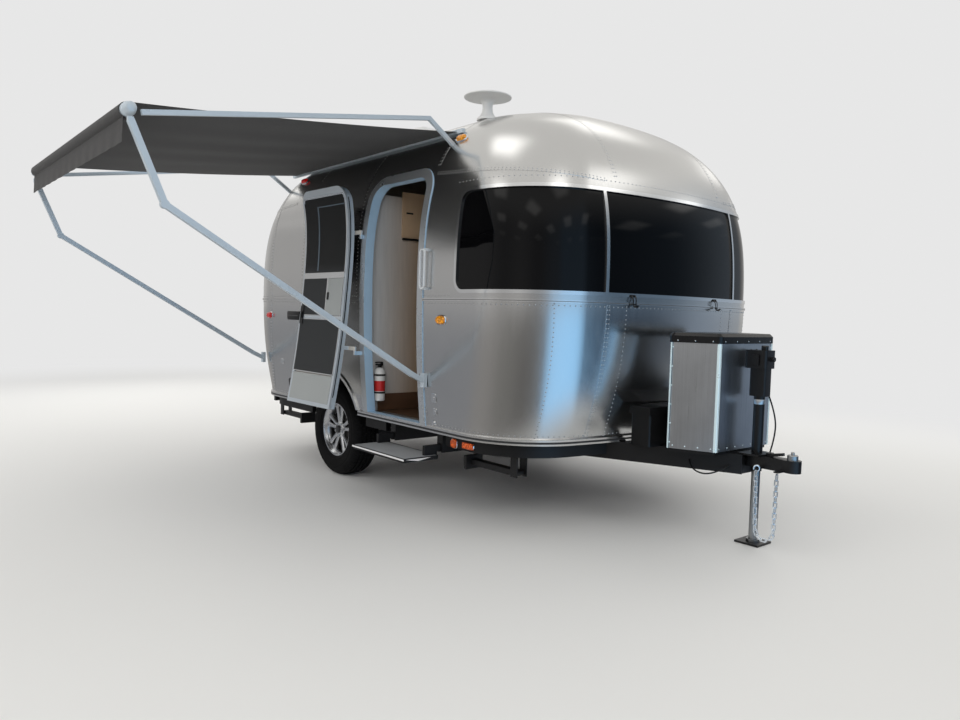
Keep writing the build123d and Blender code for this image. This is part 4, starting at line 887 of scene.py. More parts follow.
skin_metal = sheet_metal("satin_skin", (0.70, 0.70, 0.695), 0.23, along=(1.0, 1.0, 0.06), spread=0.05,
                         relief=0.16)
wall_lining = coated("wall_lining", (0.62, 0.60, 0.56), 0.55, 0.15, 220.0, 0.12)
PANEL_NODES = ("lower_front_panel", "lower_curb_panel", "lower_street_panel", "lower_rear_panel",
               "front_dome", "upper_curb_panel", "upper_street_panel", "rear_dome", "roof_panel")
for cad in PANEL_NODES:
    dress_curved(cad, cad + "_skin", skin_metal, lining=wall_lining)


# Seams and rivets: the sheets lap each other under flat strips with rows of domed rivets,
# and more rows hold the sheets to the frame along the belt, the floor and the ribs.
def cast(starts, ways):
    """Points where lines from inside the body leave its skin."""
    near, far = np.zeros(len(starts)), np.full(len(starts), 4.5)
    for step in range(40):
        middle = (near + far) / 2
        reached = starts + ways * middle[:, None]
        beyond = (outside(reached) > 0) | (reached[:, 2] > ROOF_Z - 0.0002)
        far = np.where(beyond, middle, far)
        near = np.where(beyond, near, middle)
    return starts + ways * near[:, None]


def fan(centre, first, second, start, end, lift=0.0):
    """Skin points of a fan of lines from a centre, turning from one axis to another."""
    angles = np.radians(np.linspace(start, end, 241))
    first, second = np.array(first, float), np.array(second, float)
    ways = np.cos(angles)[:, None] * first + np.sin(angles)[:, None] * second
    starts = np.tile(np.array(centre, float), (241, 1))
    starts[:, 2] += lift * np.linspace(0, 1, 241)
    return cast(starts, ways)


def paced(points, spacing):
    """The same line with points at an even spacing."""
    lengths = np.concatenate([[0], np.cumsum(np.linalg.norm(np.diff(points, axis=0), axis=1))])
    count = max(2, int(round(lengths[-1] / spacing)) + 1)
    at = np.linspace(0, lengths[-1], count)
    return np.stack([np.interp(at, lengths, points[:, axis]) for axis in range(3)], 1)


CUTS = (  # low x, high x, low z, high z, side: what the side walls are cut out for
    (-2.716, -1.904, -0.5, 1.785, -1), (-3.582, -2.938, 0.988, 1.552, -1), (-3.022, -2.128, 0.988, 1.552, 1),
    (-4.152, -3.428, 0.988, 1.552, 1), (-4.430, -3.890, 0.410, 0.730, 1), (-2.860, -2.390, 0.190, 0.590, 1),
    (-3.900, -3.660, 0.725, 0.812, -1), (-1.780, -1.648, 0.742, 0.812, -1), (-1.780, -1.648, 0.742, 0.812, 1),
)


def bare(points):
    """Which points lie on sheet metal, away from doors, windows, wheels and hatches."""
    x, y, z = points.T
    keep = np.hypot(x + 3.2, z + 0.080) > 0.462
    for low_x, high_x, low_z, high_z, side in CUTS:
        keep &= ~((x > low_x) & (x < high_x) & (z > low_z) & (z < high_z) & (y * side > 0))
    wrap = (x > -1.612) & (z > 0.925) & (z < 1.605)
    stern = (x < -4.55) & (np.abs(y) < 0.585) & (z > 0.990) & (z < 1.542)
    tail = (x < -4.70) & (np.abs(y) > 0.62) & (np.abs(y) < 0.88) & (z > 0.440) & (z < 0.650)
    return keep & ~wrap & ~stern & ~tail


def strip(build, points, width, proud):
    """Flat strip along skin points, lying on the sheet."""
    out = skin_normals(points)
    along = np.gradient(points, axis=0)
    along /= np.linalg.norm(along, axis=1, keepdims=True)
    across = np.cross(out, along)
    across /= np.linalg.norm(across, axis=1, keepdims=True)
    sections = []
    for point, way, side in zip(points, out, across):
        edge = Vector(side * width / 2)
        centre, lift = Vector(point), Vector(way)
        sections.append([centre - edge - lift * 0.004, centre - edge + lift * (proud - 0.0004),
                         centre - edge * 0.94 + lift * proud, centre + edge * 0.94 + lift * proud,
                         centre + edge + lift * (proud - 0.0004), centre + edge - lift * 0.004])
    lofted(build, sections)


def runs(points):
    """Split a line into the stretches that lie on bare sheet."""
    keep = bare(points)
    pieces, current = [], []
    for point, good in zip(points, keep):
        if good:
            current.append(point)
        elif current:
            pieces.append(np.array(current))
            current = []
    if current:
        pieces.append(np.array(current))
    return [piece for piece in pieces if len(piece) > 3]


def column(place, way):
    """Skin points up a lower panel, straight out from x and y inside the body at each height."""
    starts = np.array([(*place(z), z) for z in np.linspace(0.092, 0.890, 120)])
    return cast(starts, np.tile(np.array(way, float), (120, 1)))


X, Y, Z = (1, 0, 0), (0, 1, 0), (0, 0, 1)
WEST = (-1, 0, 0)
SOUTH = (0, -1, 0)
seams = []  # (skin points, strip width, rows of rivets)
for side in (-1, 1):
    out = (0, side, 0)
    seams.append((column(lambda z: (-1.6, side * 0.500), X), 0.0, 1))
    seams.append((column(lambda z: (-1.6, side * 0.640), X), 0.030, 2))
    seams.append((column(lambda z: (-1.6, side * (0.955 + 0.03 * z)), X), 0.0, 1))
    seams.append((fan((-2.9, side * 0.532, 0.905), X, Z, 21, 159), 0.030, 2))
    seams.append((fan((-2.1, 0, 1.735), out, X, 4, 62, lift=-0.10), 0.026, 2))
    seams.append((fan((-4.0, 0, 1.720), out, WEST, -4, 58, lift=-0.08), 0.026, 2))
    seams.append((column(lambda z: (-4.2, side * 0.520), WEST), 0.0, 1))
    seams.append((column(lambda z: (-4.2, side * 0.900), WEST), 0.026, 1))
    seams.append((column(lambda z: (-1.925 + 0.03 * (0.905 - z), 0), out), 0.030, 2))
    seams.append((column(lambda z: (-3.420, 0), out), 0.030, 2))
    seams.append((column(lambda z: (-4.230, 0), out), 0.030, 2))
    for x in (-2.760, -3.640):
        seams.append((fan((x, 0, 0.925), out, Z, 0, 58), 0.0, 1))
for x in (-1.925, -4.230):
    seams.append((fan((x, 0, 0.920), SOUTH, Z, 0, 180), 0.032, 2))
for x in (-2.900, -3.600):
    seams.append((fan((x, 0, 0.920), SOUTH, Z, 62, 118), 0.026, 1))

build = bmesh.new()
spots = []
for points, width, rows in seams:
    for run in runs(points):
        if width:
            strip(build, paced(run, 0.022), width, 0.0008)
        heads = paced(run, 0.027)
        out = skin_normals(heads)
        along = np.gradient(heads, axis=0)
        across = np.cross(out, along / np.linalg.norm(along, axis=1, keepdims=True))
        for row in range(rows):
            shift = 0 if rows == 1 else (row - 0.5) * width * 0.52
            spots += [(Vector(p + a * shift), Vector(o)) for p, a, o in zip(heads, across, out)]
follow_skin(piece_of("seam_strips", build, skin_metal, "caravan", smooth=30))
rivet_metal = coated("rivet_metal", (0.60, 0.60, 0.60), 0.30, 0.15, 300.0, 0.05, metallic=1.0)
rivets("seam_rivets", spots, 0.0044, 0.0024, rivet_metal, "caravan")

spots = []
for z in (0.101, BELT_Z - 0.024, BELT_Z + 0.024, 1.630):
    ring = np.concatenate([fan((-1.9, 0, z), SOUTH, X, 0, 180), fan((-4.2, 0, z), Y, WEST, 0, 180),
                           fan((-1.9, 0, z), SOUTH, X, 0, 1)[:1]])
    if z > 1.6:
        ring = fan((-1.9, 0, z), SOUTH, X, 13, 167)
    heads = paced(ring, 0.034)
    heads = heads[bare(heads)]
    out = skin_normals(heads)
    spots += [(Vector(p), Vector(o)) for p, o in zip(heads, out)]
rivets("belt_rivets", spots, 0.0042, 0.0022, rivet_metal, "caravan")

# Belt moulding, wheel arch trims and the rub rail: bright extrusions; the belt has a dark
# band painted along its middle and the rub rail a dark vinyl insert.
def two_tone(name, low, high, colour, rough):
    """Bright extrusion with a dark band between two heights."""
    made, tree, shader = material(name, (0.78, 0.79, 0.80), 0.22, 1.0)
    place = object_place(tree)
    part = axes(tree, place)
    grain = mottled(tree, place, 120.0, 3.0)
    above = ranged(tree, part["Z"], low - 0.0004, low + 0.0004)
    below = ranged(tree, part["Z"], high + 0.0004, high - 0.0004)
    inside = calc(tree, "MULTIPLY", above, below)
    tone = ranged(tree, grain, 0.0, 1.0, 0.70, 0.86)
    tint = blended(tree, inside, tone, (*colour, 1))
    gloss = ranged(tree, inside, 0.0, 1.0, 0.22, rough)
    metal = calc(tree, "SUBTRACT", 1.0, inside)
    drive(shader, Base_Color=tint, Roughness=gloss, Metallic=metal)
    return made


belt_metal = two_tone("belt_extrusion", BELT_Z - 0.0016, BELT_Z + 0.0016, (0.05, 0.05, 0.05), 0.5)
dress_curved("mouldings", "belt_and_arch_trims", belt_metal)
rail_metal = two_tone("rub_rail_vinyl", 0.0565, 0.0695, (0.03, 0.03, 0.032), 0.55)
dress_curved("rub_rail", "rub_rail_extrusion", rail_metal)

# Front window: three bent panes of dark tinted glass behind one bright frame, with two
# sloping posts; two black hooks hang from its lower edge.
trim_bright = coated("trim_bright", (0.80, 0.81, 0.82), 0.18, 0.12, 260.0, 0.06, metallic=1.0)
dress_curved("front_window_frame", "front_window_trim", trim_bright)
dark_glass, tree, shader = material("dark_glass", (0.002, 0.002, 0.0025), 0.035, Specular_IOR_Level=0.20)
place = object_place(tree)
film = mottled(tree, place, 2.2, 3.0)
gloss = ranged(tree, film, 0.0, 1.0, 0.02, 0.06)
ripple = raised(tree, 0.03, 0.002, film)
drive(shader, Roughness=gloss, Normal=ripple)
dress_curved("front_glass", "front_window_panes", dark_glass)

HOOK_SECTION = ((-0.003, -0.003), (0.003, -0.003), (0.003, 0.003), (-0.003, 0.003))
hook_black = coated("hook_black", (0.007, 0.007, 0.0075), 0.36, 0.3, 300.0, 0.15, Specular_IOR_Level=0.4)
build = bmesh.new()
for y in (-0.461, 0.371):
    foot = Vector(cast(np.array([(-1.6, y, 0.934)]), np.array([(1.0, 0, 0)]))[0])
    out = Vector(skin_normals(np.array([foot]))[0])
    side = up.cross(out).normalized()
    rise = out.cross(side)
    path = [(0.004, 0.020), (0.014, 0.016), (0.022, 0.004), (0.026, -0.016), (0.024, -0.034), (0.030, -0.046),
            (0.042, -0.048), (0.050, -0.040)]
    for lean in (-1, 1):
        sections = []
        for step, (reach, climb) in enumerate(path):
            spot = foot + out * reach + rise * climb + side * (lean * (0.016 - 0.0016 * step))
            sections.append([spot - side * 0.0045 - rise * 0.0035, spot + side * 0.0045 - rise * 0.0035,
                             spot + side * 0.0045 + rise * 0.0035, spot - side * 0.0045 + rise * 0.0035])
        lofted(build, sections)
    for reach, climb, half in ((0.024, -0.034, 0.016), (0.050, -0.040, 0.010)):
        spot = foot + out * reach + rise * climb
        lofted(build, [[spot + side * end + rise * v + out * u for u, v in HOOK_SECTION]
                       for end in (-half, half)])
    slab(build, foot + Vector((-0.008, -0.024, 0.010)), foot + Vector((0.009, 0.024, 0.026)), 0.002)
piece_of("window_hooks", build, hook_black, "caravan")

# Side and rear windows: panes of the same tinted glass with rounded corners, in thin bright
# frames that are clamped through the wall and follow its curve.
dress_curved("window_frames", "side_window_trims", trim_bright)
dress_curved("window_glass", "side_window_panes", dark_glass)

# Key plates and the outlet of the door side: two small locks and a round cap low beside the
# door, a black flush outlet under the belt, a low vent and the latch of a locker.
def on_skin(x, z, side=-1):
    """Skin point and outward normal of a side wall at x and height z."""
    point = cast(np.array([(x, 0, z)], float), np.array([(0, side, 0)], float))
    return Vector(point[0]), Vector(skin_normals(point)[0])


def plate(build, x, z, width, tall, thick, bevel=0.002, side=-1):
    """Flat plate with softened edges, lying on a side wall."""
    centre, out = on_skin(x, z, side)
    across = Vector((1, 0, 0))
    rise = out.cross(across).normalized()
    rise = rise if rise.z > 0 else -rise
    corner = min(width, tall) * 0.22
    outline = []
    for sx, sz, start in ((1, 1, 0), (-1, 1, 90), (-1, -1, 180), (1, -1, 270)):
        for turn in range(4):
            angle = math.radians(start + turn * 30)
            outline.append((sx * (width / 2 - corner) + math.cos(angle) * corner,
                            sz * (tall / 2 - corner) + math.sin(angle) * corner))
    levels = ((-0.003, 1.0), (thick - bevel, 1.0), (thick, 1.0 - 2 * bevel / min(width, tall)))
    lofted(build, [[centre + across * (u * share) + rise * (v * share) + out * lift for u, v in outline]
                   for lift, share in levels])


build = bmesh.new()
for x, z, width in ((-1.806, 0.273, 0.052), (-1.800, 0.184, 0.040)):
    plate(build, x, z, width, width * 1.15, 0.004)
    centre, out = on_skin(x, z)
    turned(build, [(0.0, 0.008), (0.009, 0.008), (0.011, 0.006), (0.011, 0.0), (0.0, 0.0)], centre, out, 20)
plate(build, -4.033, 0.368, 0.060, 0.045, 0.004)
centre, out = on_skin(-1.822, 0.095)
turned(build, [(0.0, 0.010), (0.014, 0.009), (0.018, 0.004), (0.020, 0.0), (0.0, -0.002)],
       centre + Vector((0, 0, 0.012)), out, 24)
piece_of("lock_plates", build, trim_bright, "caravan", smooth=30)
build = bmesh.new()
plate(build, -3.780, 0.768, 0.227, 0.072, 0.010)
plate(build, -3.870, 0.173, 0.090, 0.120, 0.009)
piece_of("outlet_and_vent", build, hook_black, "caravan", smooth=30)
build = bmesh.new()
for step in range(5):
    plate(build, -3.870, 0.133 + step * 0.020, 0.070, 0.006, 0.012, 0.001)
plate(build, -3.780, 0.768, 0.180, 0.006, 0.013, 0.001)
piece_of("outlet_ribs", build, coated("rib_grey", (0.07, 0.07, 0.075), 0.5, 0.3, 300.0, 0.1), "caravan",
         smooth=30)

# Lamps: moulded lenses in bright bezels, amber forward and red aft, at the belt, on the domes
# and along the skirt, and two broad tail lamps; the lenses glow a little, as lit from behind.
def lens(name, colour, deeper, glow):
    """Plastic lens with moulded prisms, lit from behind; deeper is its hue along the skirt."""
    made, tree, shader = material(name, colour, 0.16, Coat_Weight=0.4, Coat_Roughness=0.05,
                                  Emission_Strength=glow)
    place = object_place(tree)
    prisms = node(tree, "ShaderNodeTexVoronoi", [("Vector", place), ("Scale", 85.0)])
    part = axes(tree, place)
    low = ranged(tree, part["Z"], 0.10, 0.14, 1.0, 0.0)
    hue = blended(tree, low, (*colour, 1), (*deeper, 1))
    tone = ranged(tree, prisms.outputs["Distance"], 0.0, 0.6, 1.35, 0.45)
    tinted = vector_calc(tree, "SCALE", hue, tone)
    bump = raised(tree, 0.5, 0.0015, prisms.outputs["Distance"])
    drive(shader, Base_Color=tinted, Emission_Color=tinted, Normal=bump)
    return made


RED = (0.75, 0.02, 0.02)
amber_lens = lens("amber_lens", (0.95, 0.36, 0.015), (0.80, 0.13, 0.02), 0.22)
dress("marker_lamps_amber", amber_lens, 45)
dress("marker_lamps_red", lens("red_lens", RED, RED, 0.22), 45)


def bezel(build, centre, out, across, half_wide, half_tall, width, proud):
    """Bright ring with rounded corners round a lens."""
    rise = out.cross(across).normalized()
    sections = []
    for step in range(48):
        angle = 2 * math.pi * step / 48
        c, s = math.cos(angle), math.sin(angle)
        grip = (abs(c) ** 3.2 + abs(s) ** 3.2) ** (-1 / 3.2)
        inner = across * (c * grip * half_wide) + rise * (s * grip * half_tall)
        outer = across * (c * grip * (half_wide + width)) + rise * (s * grip * (half_tall + width))
        sections.append([centre + inner - out * 0.004, centre + inner + out * proud,
                         centre + (inner + outer) / 2 + out * (proud + 0.0015),
                         centre + outer + out * proud * 0.4, centre + outer - out * 0.004])
    lofted(build, sections, endless=True)


MARKERS = (  # middle of the lens on the skin: x, y, z, half width, half height
    (-1.830, 0.997, 1.958, 0.043, 0.024), (-1.714, 1.214, 0.777, 0.043, 0.024),
    (-4.247, 1.214, 0.764, 0.043, 0.024), (-4.010, 1.017, 1.932, 0.043, 0.024),
    (-4.789, 0.750, 0.545, 0.112, 0.088),
)
build = bmesh.new()
for x, y, z, half_wide, half_tall in MARKERS:
    for side in (-1, 1):
        start = np.array([(-2.6 if x > -3 else -3.6, 0, z - 0.25 if z > 1.5 else z)])
        aim = np.array([(x, side * y, z)]) - start
        point = cast(start, aim / np.linalg.norm(aim))
        out = Vector(skin_normals(point)[0])
        across = Vector((0, 0, 1)).cross(out).normalized()
        bezel(build, Vector(point[0]), out, across, half_wide, half_tall, 0.008, 0.006)
for side in (-1, 1):
    out = Vector((0, side, 0))
    across = Vector((1, 0, 0))
    bezel(build, Vector((-1.677, side * 1.110, -0.008)), out, across, 0.0275, 0.0275, 0.005, 0.006)
    bezel(build, Vector((-1.534, side * 1.110, -0.005)), out, across, 0.050, 0.018, 0.005, 0.006)
piece_of("lamp_bezels", build, trim_bright, "caravan", smooth=40)

# Service hatches on the street side: flush doors cut from the same sheet. A black rubber seal
# runs round each, and two square bright locks close it.
dress_curved("service_hatches", "service_hatch_doors", skin_metal)


def rounded_walk(low_x, high_x, low_z, high_z, corner, turns, spacing):
    """Walk round a rectangle with round corners: a point a corner's radius in, and the way out."""
    path = []
    for cx, cz, start in ((high_x - corner, high_z - corner, 0), (low_x + corner, high_z - corner, 90),
                          (low_x + corner, low_z + corner, 180), (high_x - corner, low_z + corner, 270)):
        for turn in range(turns):
            angle = math.radians(start + turn * 90 / (turns - 1))
            path.append((cx, cz, math.cos(angle), math.sin(angle)))
    walk = []
    for here, there in zip(path, path[1:] + path[:1]):
        count = max(1, int(math.hypot(there[0] - here[0], there[1] - here[1]) / spacing))
        for share in (step / count for step in range(count)):
            walk.append([a + (b - a) * share for a, b in zip(here, there)])
    return walk


def wall_frame(build, low_x, high_x, low_z, high_z, width, proud, side, corner=0.03):
    """Flat ring with rounded corners lying on a side wall."""
    sections = []
    for cx, cz, c, s in rounded_walk(low_x, high_x, low_z, high_z, corner, 5, 0.06):
        section = []
        for reach, lift in ((corner - width, -0.003), (corner - width, proud), (corner, proud),
                            (corner, -0.003)):
            point, out = on_skin(cx + c * reach, cz + s * reach, side)
            section.append(point + out * lift)
        sections.append(section)
    lofted(build, sections, endless=True)


seal_black = coated("seal_black", (0.006, 0.006, 0.006), 0.6, 0.3, 400.0, 0.2, Specular_IOR_Level=0.3)
build = bmesh.new()
wall_frame(build, -2.853, -2.397, 0.197, 0.583, 0.006, 0.0022, 1)
wall_frame(build, -4.423, -3.897, 0.417, 0.723, 0.006, 0.0022, 1)
piece_of("hatch_seals", build, seal_black, "caravan", smooth=40)
build = bmesh.new()
for x, z in ((-2.480, 0.535), (-2.770, 0.535), (-3.990, 0.675), (-4.330, 0.675)):
    plate(build, x, z, 0.045, 0.045, 0.0065, 0.002, 1)
piece_of("hatch_locks", build, trim_bright, "caravan", smooth=30)

# Door frame: wide bright extrusion bent round the opening and riveted to the sheet, with the
# hinge knuckles on its rear side. A grey ribbed plate covers the threshold.
flange_metal = coated("flange_metal", (0.60, 0.63, 0.66), 0.30, 0.12, 260.0, 0.012, metallic=0.75)
jambs = dress_curved("door_frame", "door_frame_extrusion", flange_metal)
# The frame's faces across the wall are tinted pale blue: a painted reflection of daylight, not the metal's
# own colour.
jamb_painted_sky = coated("jamb_painted_sky", (0.46, 0.66, 0.86), 0.40, 0.10, 120.0, 0.04, metallic=0.05)


def returns_in(piece, finish, back=Matrix.Identity(4)):
    """Give the faces of a wall piece that stand across its thickness a finish of their own."""
    piece.data.materials.append(finish)
    turn = back.to_3x3()
    out = skin_normals(np.array([back @ face.center for face in piece.data.polygons]))
    for face, way in zip(piece.data.polygons, out):
        if abs((turn @ face.normal).dot(Vector(way))) < 0.5:
            face.material_index = len(piece.data.materials) - 1


returns_in(jambs, jamb_painted_sky)
build = bmesh.new()
slab(build, (-2.640, -1.168, 0.0795), (-1.980, -1.035, 0.0835), 0.0012)
for step in range(5):
    slab(build, (-2.630, -1.160 + step * 0.024, 0.083), (-1.990, -1.152 + step * 0.024, 0.0848), 0.0006)
threshold_grey = coated("threshold_grey", (0.42, 0.42, 0.43), 0.38, 0.3, 260.0, 0.1, metallic=1.0)
piece_of("threshold_plate", build, threshold_grey, "caravan", smooth=30)
heads = []
for z in np.arange(0.11, 1.60, 0.045):
    for x in (-1.925, -2.695):
        point, out = on_skin(x, float(z))
        heads.append((point + out * 0.0065, out))
rivets("door_frame_rivets", heads, 0.0034, 0.0014, nut_chrome, "caravan")

# Door: a curved leaf of the same sheet, lined pale inside, swung right back against the wall
# on its two hinges, with a tinted window and a black seal round its edge.
HINGE = Vector((-2.690, -1.245, 0.905))
HINGE_AXIS = Vector((0, 0.045, 1)).normalized()
OPEN_BY = math.radians(178)
swing = (Matrix.Translation(HINGE) @ Matrix.Rotation(-OPEN_BY, 4, HINGE_AXIS) @ Matrix.Translation(-HINGE))
leaf = dress_curved("door_leaf", "door_leaf_sheet", skin_metal, swing, wall_lining)
edge_pale = coated("edge_pale", (0.56, 0.64, 0.72), 0.36, 0.10, 120.0, 0.04, metallic=0.2)
returns_in(leaf, edge_pale, swing.inverted())
dress_curved("door_glass", "door_window_pane", dark_glass, swing)


def on_leaf(x, z, depth):
    """Point of the swung door that lies at x and z, a depth in from the sheet, when closed."""
    half = float(body_size(z)[0])
    slope = float(body_size(z + 0.001)[0]) - float(body_size(z - 0.001)[0])
    out = Vector((0, -1, -slope / 0.002)).normalized()
    return swing @ (Vector((x, -half, z)) - out * depth)


def leaf_ring(build, low_x, high_x, low_z, high_z, corner, width, shallow, deep):
    """Ring on the door between two depths, its outer edge a rounded rectangle."""
    edges = ((corner - width, shallow), (corner - width, deep), (corner, deep), (corner, shallow))
    sections = []
    for cx, cz, c, s in rounded_walk(low_x, high_x, low_z, high_z, corner, 7, 0.05):
        sections.append([on_leaf(cx + c * reach, cz + s * reach, depth) for reach, depth in edges])
    lofted(build, sections, endless=True)


def leaf_panel(build, low_x, high_x, low_z, high_z, shallow, deep):
    """Flat panel on the door between two depths, following its curve."""
    steps = max(2, int((high_z - low_z) / 0.03) + 1)
    heights = [low_z + (high_z - low_z) * i / (steps - 1) for i in range(steps)]
    lofted(build, [[on_leaf(low_x, z, shallow), on_leaf(high_x, z, shallow),
                    on_leaf(high_x, z, deep), on_leaf(low_x, z, deep)] for z in heights])


build = bmesh.new()
leaf_ring(build, -2.637, -1.999, 0.091, 1.712, 0.107, 0.020, 0.028, 0.0345)
leaf_ring(build, -2.560, -2.076, 1.160, 1.650, 0.062, 0.014, 0.004, 0.0335)
piece_of("door_seals", build, seal_black, "door", smooth=40)

# Screen door: a bright extruded frame hung inside the leaf, with dark insect mesh in three
# lights, a sliding hatch over half of the middle one and a pale kick plate at its foot.
screen_metal = coated("screen_frame_metal", (0.54, 0.59, 0.64), 0.34, 0.12, 260.0, 0.06, metallic=0.35)
dress_curved("screen_door", "screen_door_frame", screen_metal, swing)
mesh_dark, tree, shader = material("insect_mesh", (0.055, 0.058, 0.062), 0.62)
place = object_place(tree)
weave = node(tree, "ShaderNodeTexWave", [("Vector", place), ("Scale", 220.0)], bands_direction="Z")
cross = node(tree, "ShaderNodeTexWave", [("Vector", place), ("Scale", 220.0)], bands_direction="X")
cells = calc(tree, "MAXIMUM", weave.outputs["Fac"], cross.outputs["Fac"])
tint = node(tree, "ShaderNodeValToRGB", [("Fac", cells)])
tint.color_ramp.elements[0].color = (0.008, 0.009, 0.010, 1)
tint.color_ramp.elements[1].color = (0.034, 0.037, 0.040, 1)
part = axes(tree, place)
upper = ranged(tree, part["Z"], 1.10, 1.16, 1.0, 0.30)
shaded = vector_calc(tree, "SCALE", tint.outputs["Color"], upper)
bump = raised(tree, 0.4, 0.0006, cells)
drive(shader, Base_Color=shaded, Normal=bump)
SCREEN_LIGHTS = ((0.334, 0.741), (0.769, 1.055), (1.091, 1.672))
SCREEN_SIDES = (-2.612, -2.024)
SCREEN_FACE = 0.0440
build = bmesh.new()
for low, high in SCREEN_LIGHTS:
    leaf_panel(build, *SCREEN_SIDES, low, high, SCREEN_FACE, 0.0512)
piece_of("door_insect_mesh", build, mesh_dark, "door", ["door_screens"], smooth=40)
build = bmesh.new()
for low, high in SCREEN_LIGHTS:
    leaf_ring(build, SCREEN_SIDES[0] - 0.003, SCREEN_SIDES[1] + 0.003, low - 0.003, high + 0.003, 0.020,
              0.007, SCREEN_FACE, 0.0522)
leaf_panel(build, *SCREEN_SIDES, 1.055, 1.091, SCREEN_FACE, 0.0516)
leaf_panel(build, -2.392, -2.378, 0.772, 1.052, SCREEN_FACE, 0.0530)
piece_of("screen_beads", build, trim_bright, "door", smooth=40)
build = bmesh.new()
leaf_panel(build, -2.232, -2.214, 1.110, 1.600, SCREEN_FACE, 0.0518)
leaf_panel(build, -2.600, -2.214, 1.592, 1.600, SCREEN_FACE, 0.0518)
piece_of("window_bar_behind_mesh", build, coated("bar_dim", (0.10, 0.14, 0.18), 0.5, 0.1, 260.0, 0.05),
         "door", smooth=40)
build = bmesh.new()
leaf_panel(build, -2.603, -2.392, 0.775, 1.049, SCREEN_FACE, 0.0524)
leaf_panel(build, -2.606, -2.032, 0.118, 0.322, SCREEN_FACE, 0.0512)
pale_panel = coated("pale_panel", (0.36, 0.38, 0.38), 0.42, 0.12, 120.0, 0.05)
piece_of("slide_hatch_and_kick_plate", build, pale_panel, "door", smooth=30)
build = bmesh.new()
leaf_panel(build, -2.066, -2.022, 0.700, 0.840, 0.0480, 0.0570)
leaf_panel(build, -2.054, -2.036, 0.745, 0.795, 0.0550, 0.0645)
leaf_panel(build, -2.420, -2.400, 0.890, 0.945, 0.0500, 0.0590)
piece_of("screen_latch", build, hook_black, "door", smooth=30)

# Grab loop beside the door: one bent tube, polished and lacquered, that stands off the wall
# on two feet screwed to the frame behind the sheet.
dress("grab_loop", coated("loop_silver", (0.84, 0.88, 0.91), 0.24, 0.1, 120.0, 0.03, metallic=0.3),
      40)

# Floor deck, wheel wells and the fitted interior that shows through the door: pale laminate
# cabinets, a dinette and a bed base.
dress("floor_deck", coated("floor_board", (0.105, 0.055, 0.032), 0.40, 0.9, 60.0, 0.2))
dress("wheel_wells", coated("well_black", (0.007, 0.007, 0.0075), 0.70, 0.5, 300.0, 0.3,
                            Specular_IOR_Level=0.3))
laminate, tree, shader = material("pale_laminate", (0.62, 0.52, 0.42), 0.42)
place = object_place(tree)
stretch = vector_calc(tree, "MULTIPLY", place, (14.0, 14.0, 1.2))
figure = mottled(tree, stretch, 3.0, 6.0)
part = axes(tree, place)
inward = ranged(tree, part["Y"], -1.05, -0.68)
base = blended(tree, inward, (0.66, 0.66, 0.66, 1), (0.50, 0.35, 0.23, 1))
tone = ranged(tree, figure, 0.0, 1.0, 0.85, 1.12)
tinted = vector_calc(tree, "SCALE", base, tone)
bump = raised(tree, 0.05, 0.001, figure)
drive(shader, Base_Color=tinted, Normal=bump)
dress("cabinets", laminate)
dress("dinette", laminate)
dress("bed", coated("bed_board", (0.60, 0.54, 0.47), 0.6, 0.2, 120.0, 0.2))
build = bmesh.new()
slab(build, (-2.7095, -0.865, 1.380), (-2.7000, -0.570, 1.720), 0.002)
piece_of("hanging_board", build, coated("oak_board", (0.60, 0.42, 0.27), 0.45, 0.5, 50.0, 0.1), "caravan")
# The slot is a thin black plate on the board: painted shade of the opening. The ledge below it is black.
build = bmesh.new()
slab(build, (-2.7005, -0.830, 1.560), (-2.6960, -0.770, 1.572), 0.001)
slab(build, (-2.7005, -0.865, 1.362), (-2.6880, -0.560, 1.378), 0.003)
piece_of("slot_shade_and_ledge", build, hook_black, "caravan")
build = bmesh.new()
slab(build, (-2.7100, -1.050, 0.082), (-2.6990, 0.000, 0.205), 0.002)
piece_of("brown_skirting", build, coated("skirting_brown", (0.115, 0.060, 0.034), 0.45, 0.6, 50.0, 0.1),
         "caravan")

# Fire extinguisher: drawn steel bottle, painted white with a red band round its middle. Its
# valve with two levers is black, and two straps hold it to the board beside the door.
bottle, tree, shader = material("bottle_paint", (0.80, 0.80, 0.79), 0.25)
place = object_place(tree)
part = axes(tree, place)
grain = mottled(tree, place, 30.0)
bands = ranged(tree, part["Z"], 0.160, 0.400)
ramp = node(tree, "ShaderNodeValToRGB", [("Fac", bands)])
ramp.color_ramp.interpolation = "CONSTANT"
ramp.color_ramp.elements[0].color = (0.80, 0.80, 0.79, 1)
ramp.color_ramp.elements[1].position = 0.62
ramp.color_ramp.elements[1].color = (0.80, 0.80, 0.79, 1)
band_start = ramp.color_ramp.elements.new(0.30)
band_start.color = (0.62, 0.03, 0.03, 1)
tone = ranged(tree, grain, 0.0, 1.0, 0.94, 1.04)
tinted = vector_calc(tree, "SCALE", ramp.outputs["Color"], tone)
drive(shader, Base_Color=tinted)
build = bmesh.new()
spot = Vector((-2.668, -1.060, 0.160))
turned(build, [(0.0, 0.0), (0.036, 0.0), (0.041, 0.006), (0.0415, 0.012), (0.0415, 0.205), (0.038, 0.225),
               (0.026, 0.240), (0.014, 0.246), (0.0, 0.247)], spot, up, 40)
piece_of("extinguisher_bottle", build, bottle, "caravan", ["fire_extinguisher"])
build = bmesh.new()
turned(build, [(0.0, 0.244), (0.013, 0.244), (0.013, 0.268), (0.0, 0.268)], spot, up, 20)
slab(build, (-2.6760, -1.098, 0.424), (-2.6600, -1.036, 0.434), 0.002)
slab(build, (-2.6740, -1.100, 0.440), (-2.6620, -1.040, 0.449), 0.002)
slab(build, (-2.6780, -1.050, 0.420), (-2.6580, -1.036, 0.446), 0.002)
for z in (0.215, 0.345):
    turned(build, [(0.0418, 0.0), (0.0428, 0.001), (0.0428, 0.013), (0.0418, 0.014)],
           spot + up * (z - 0.160), up, 40)
piece_of("extinguisher_valve", build, hook_black, "caravan", smooth=30)

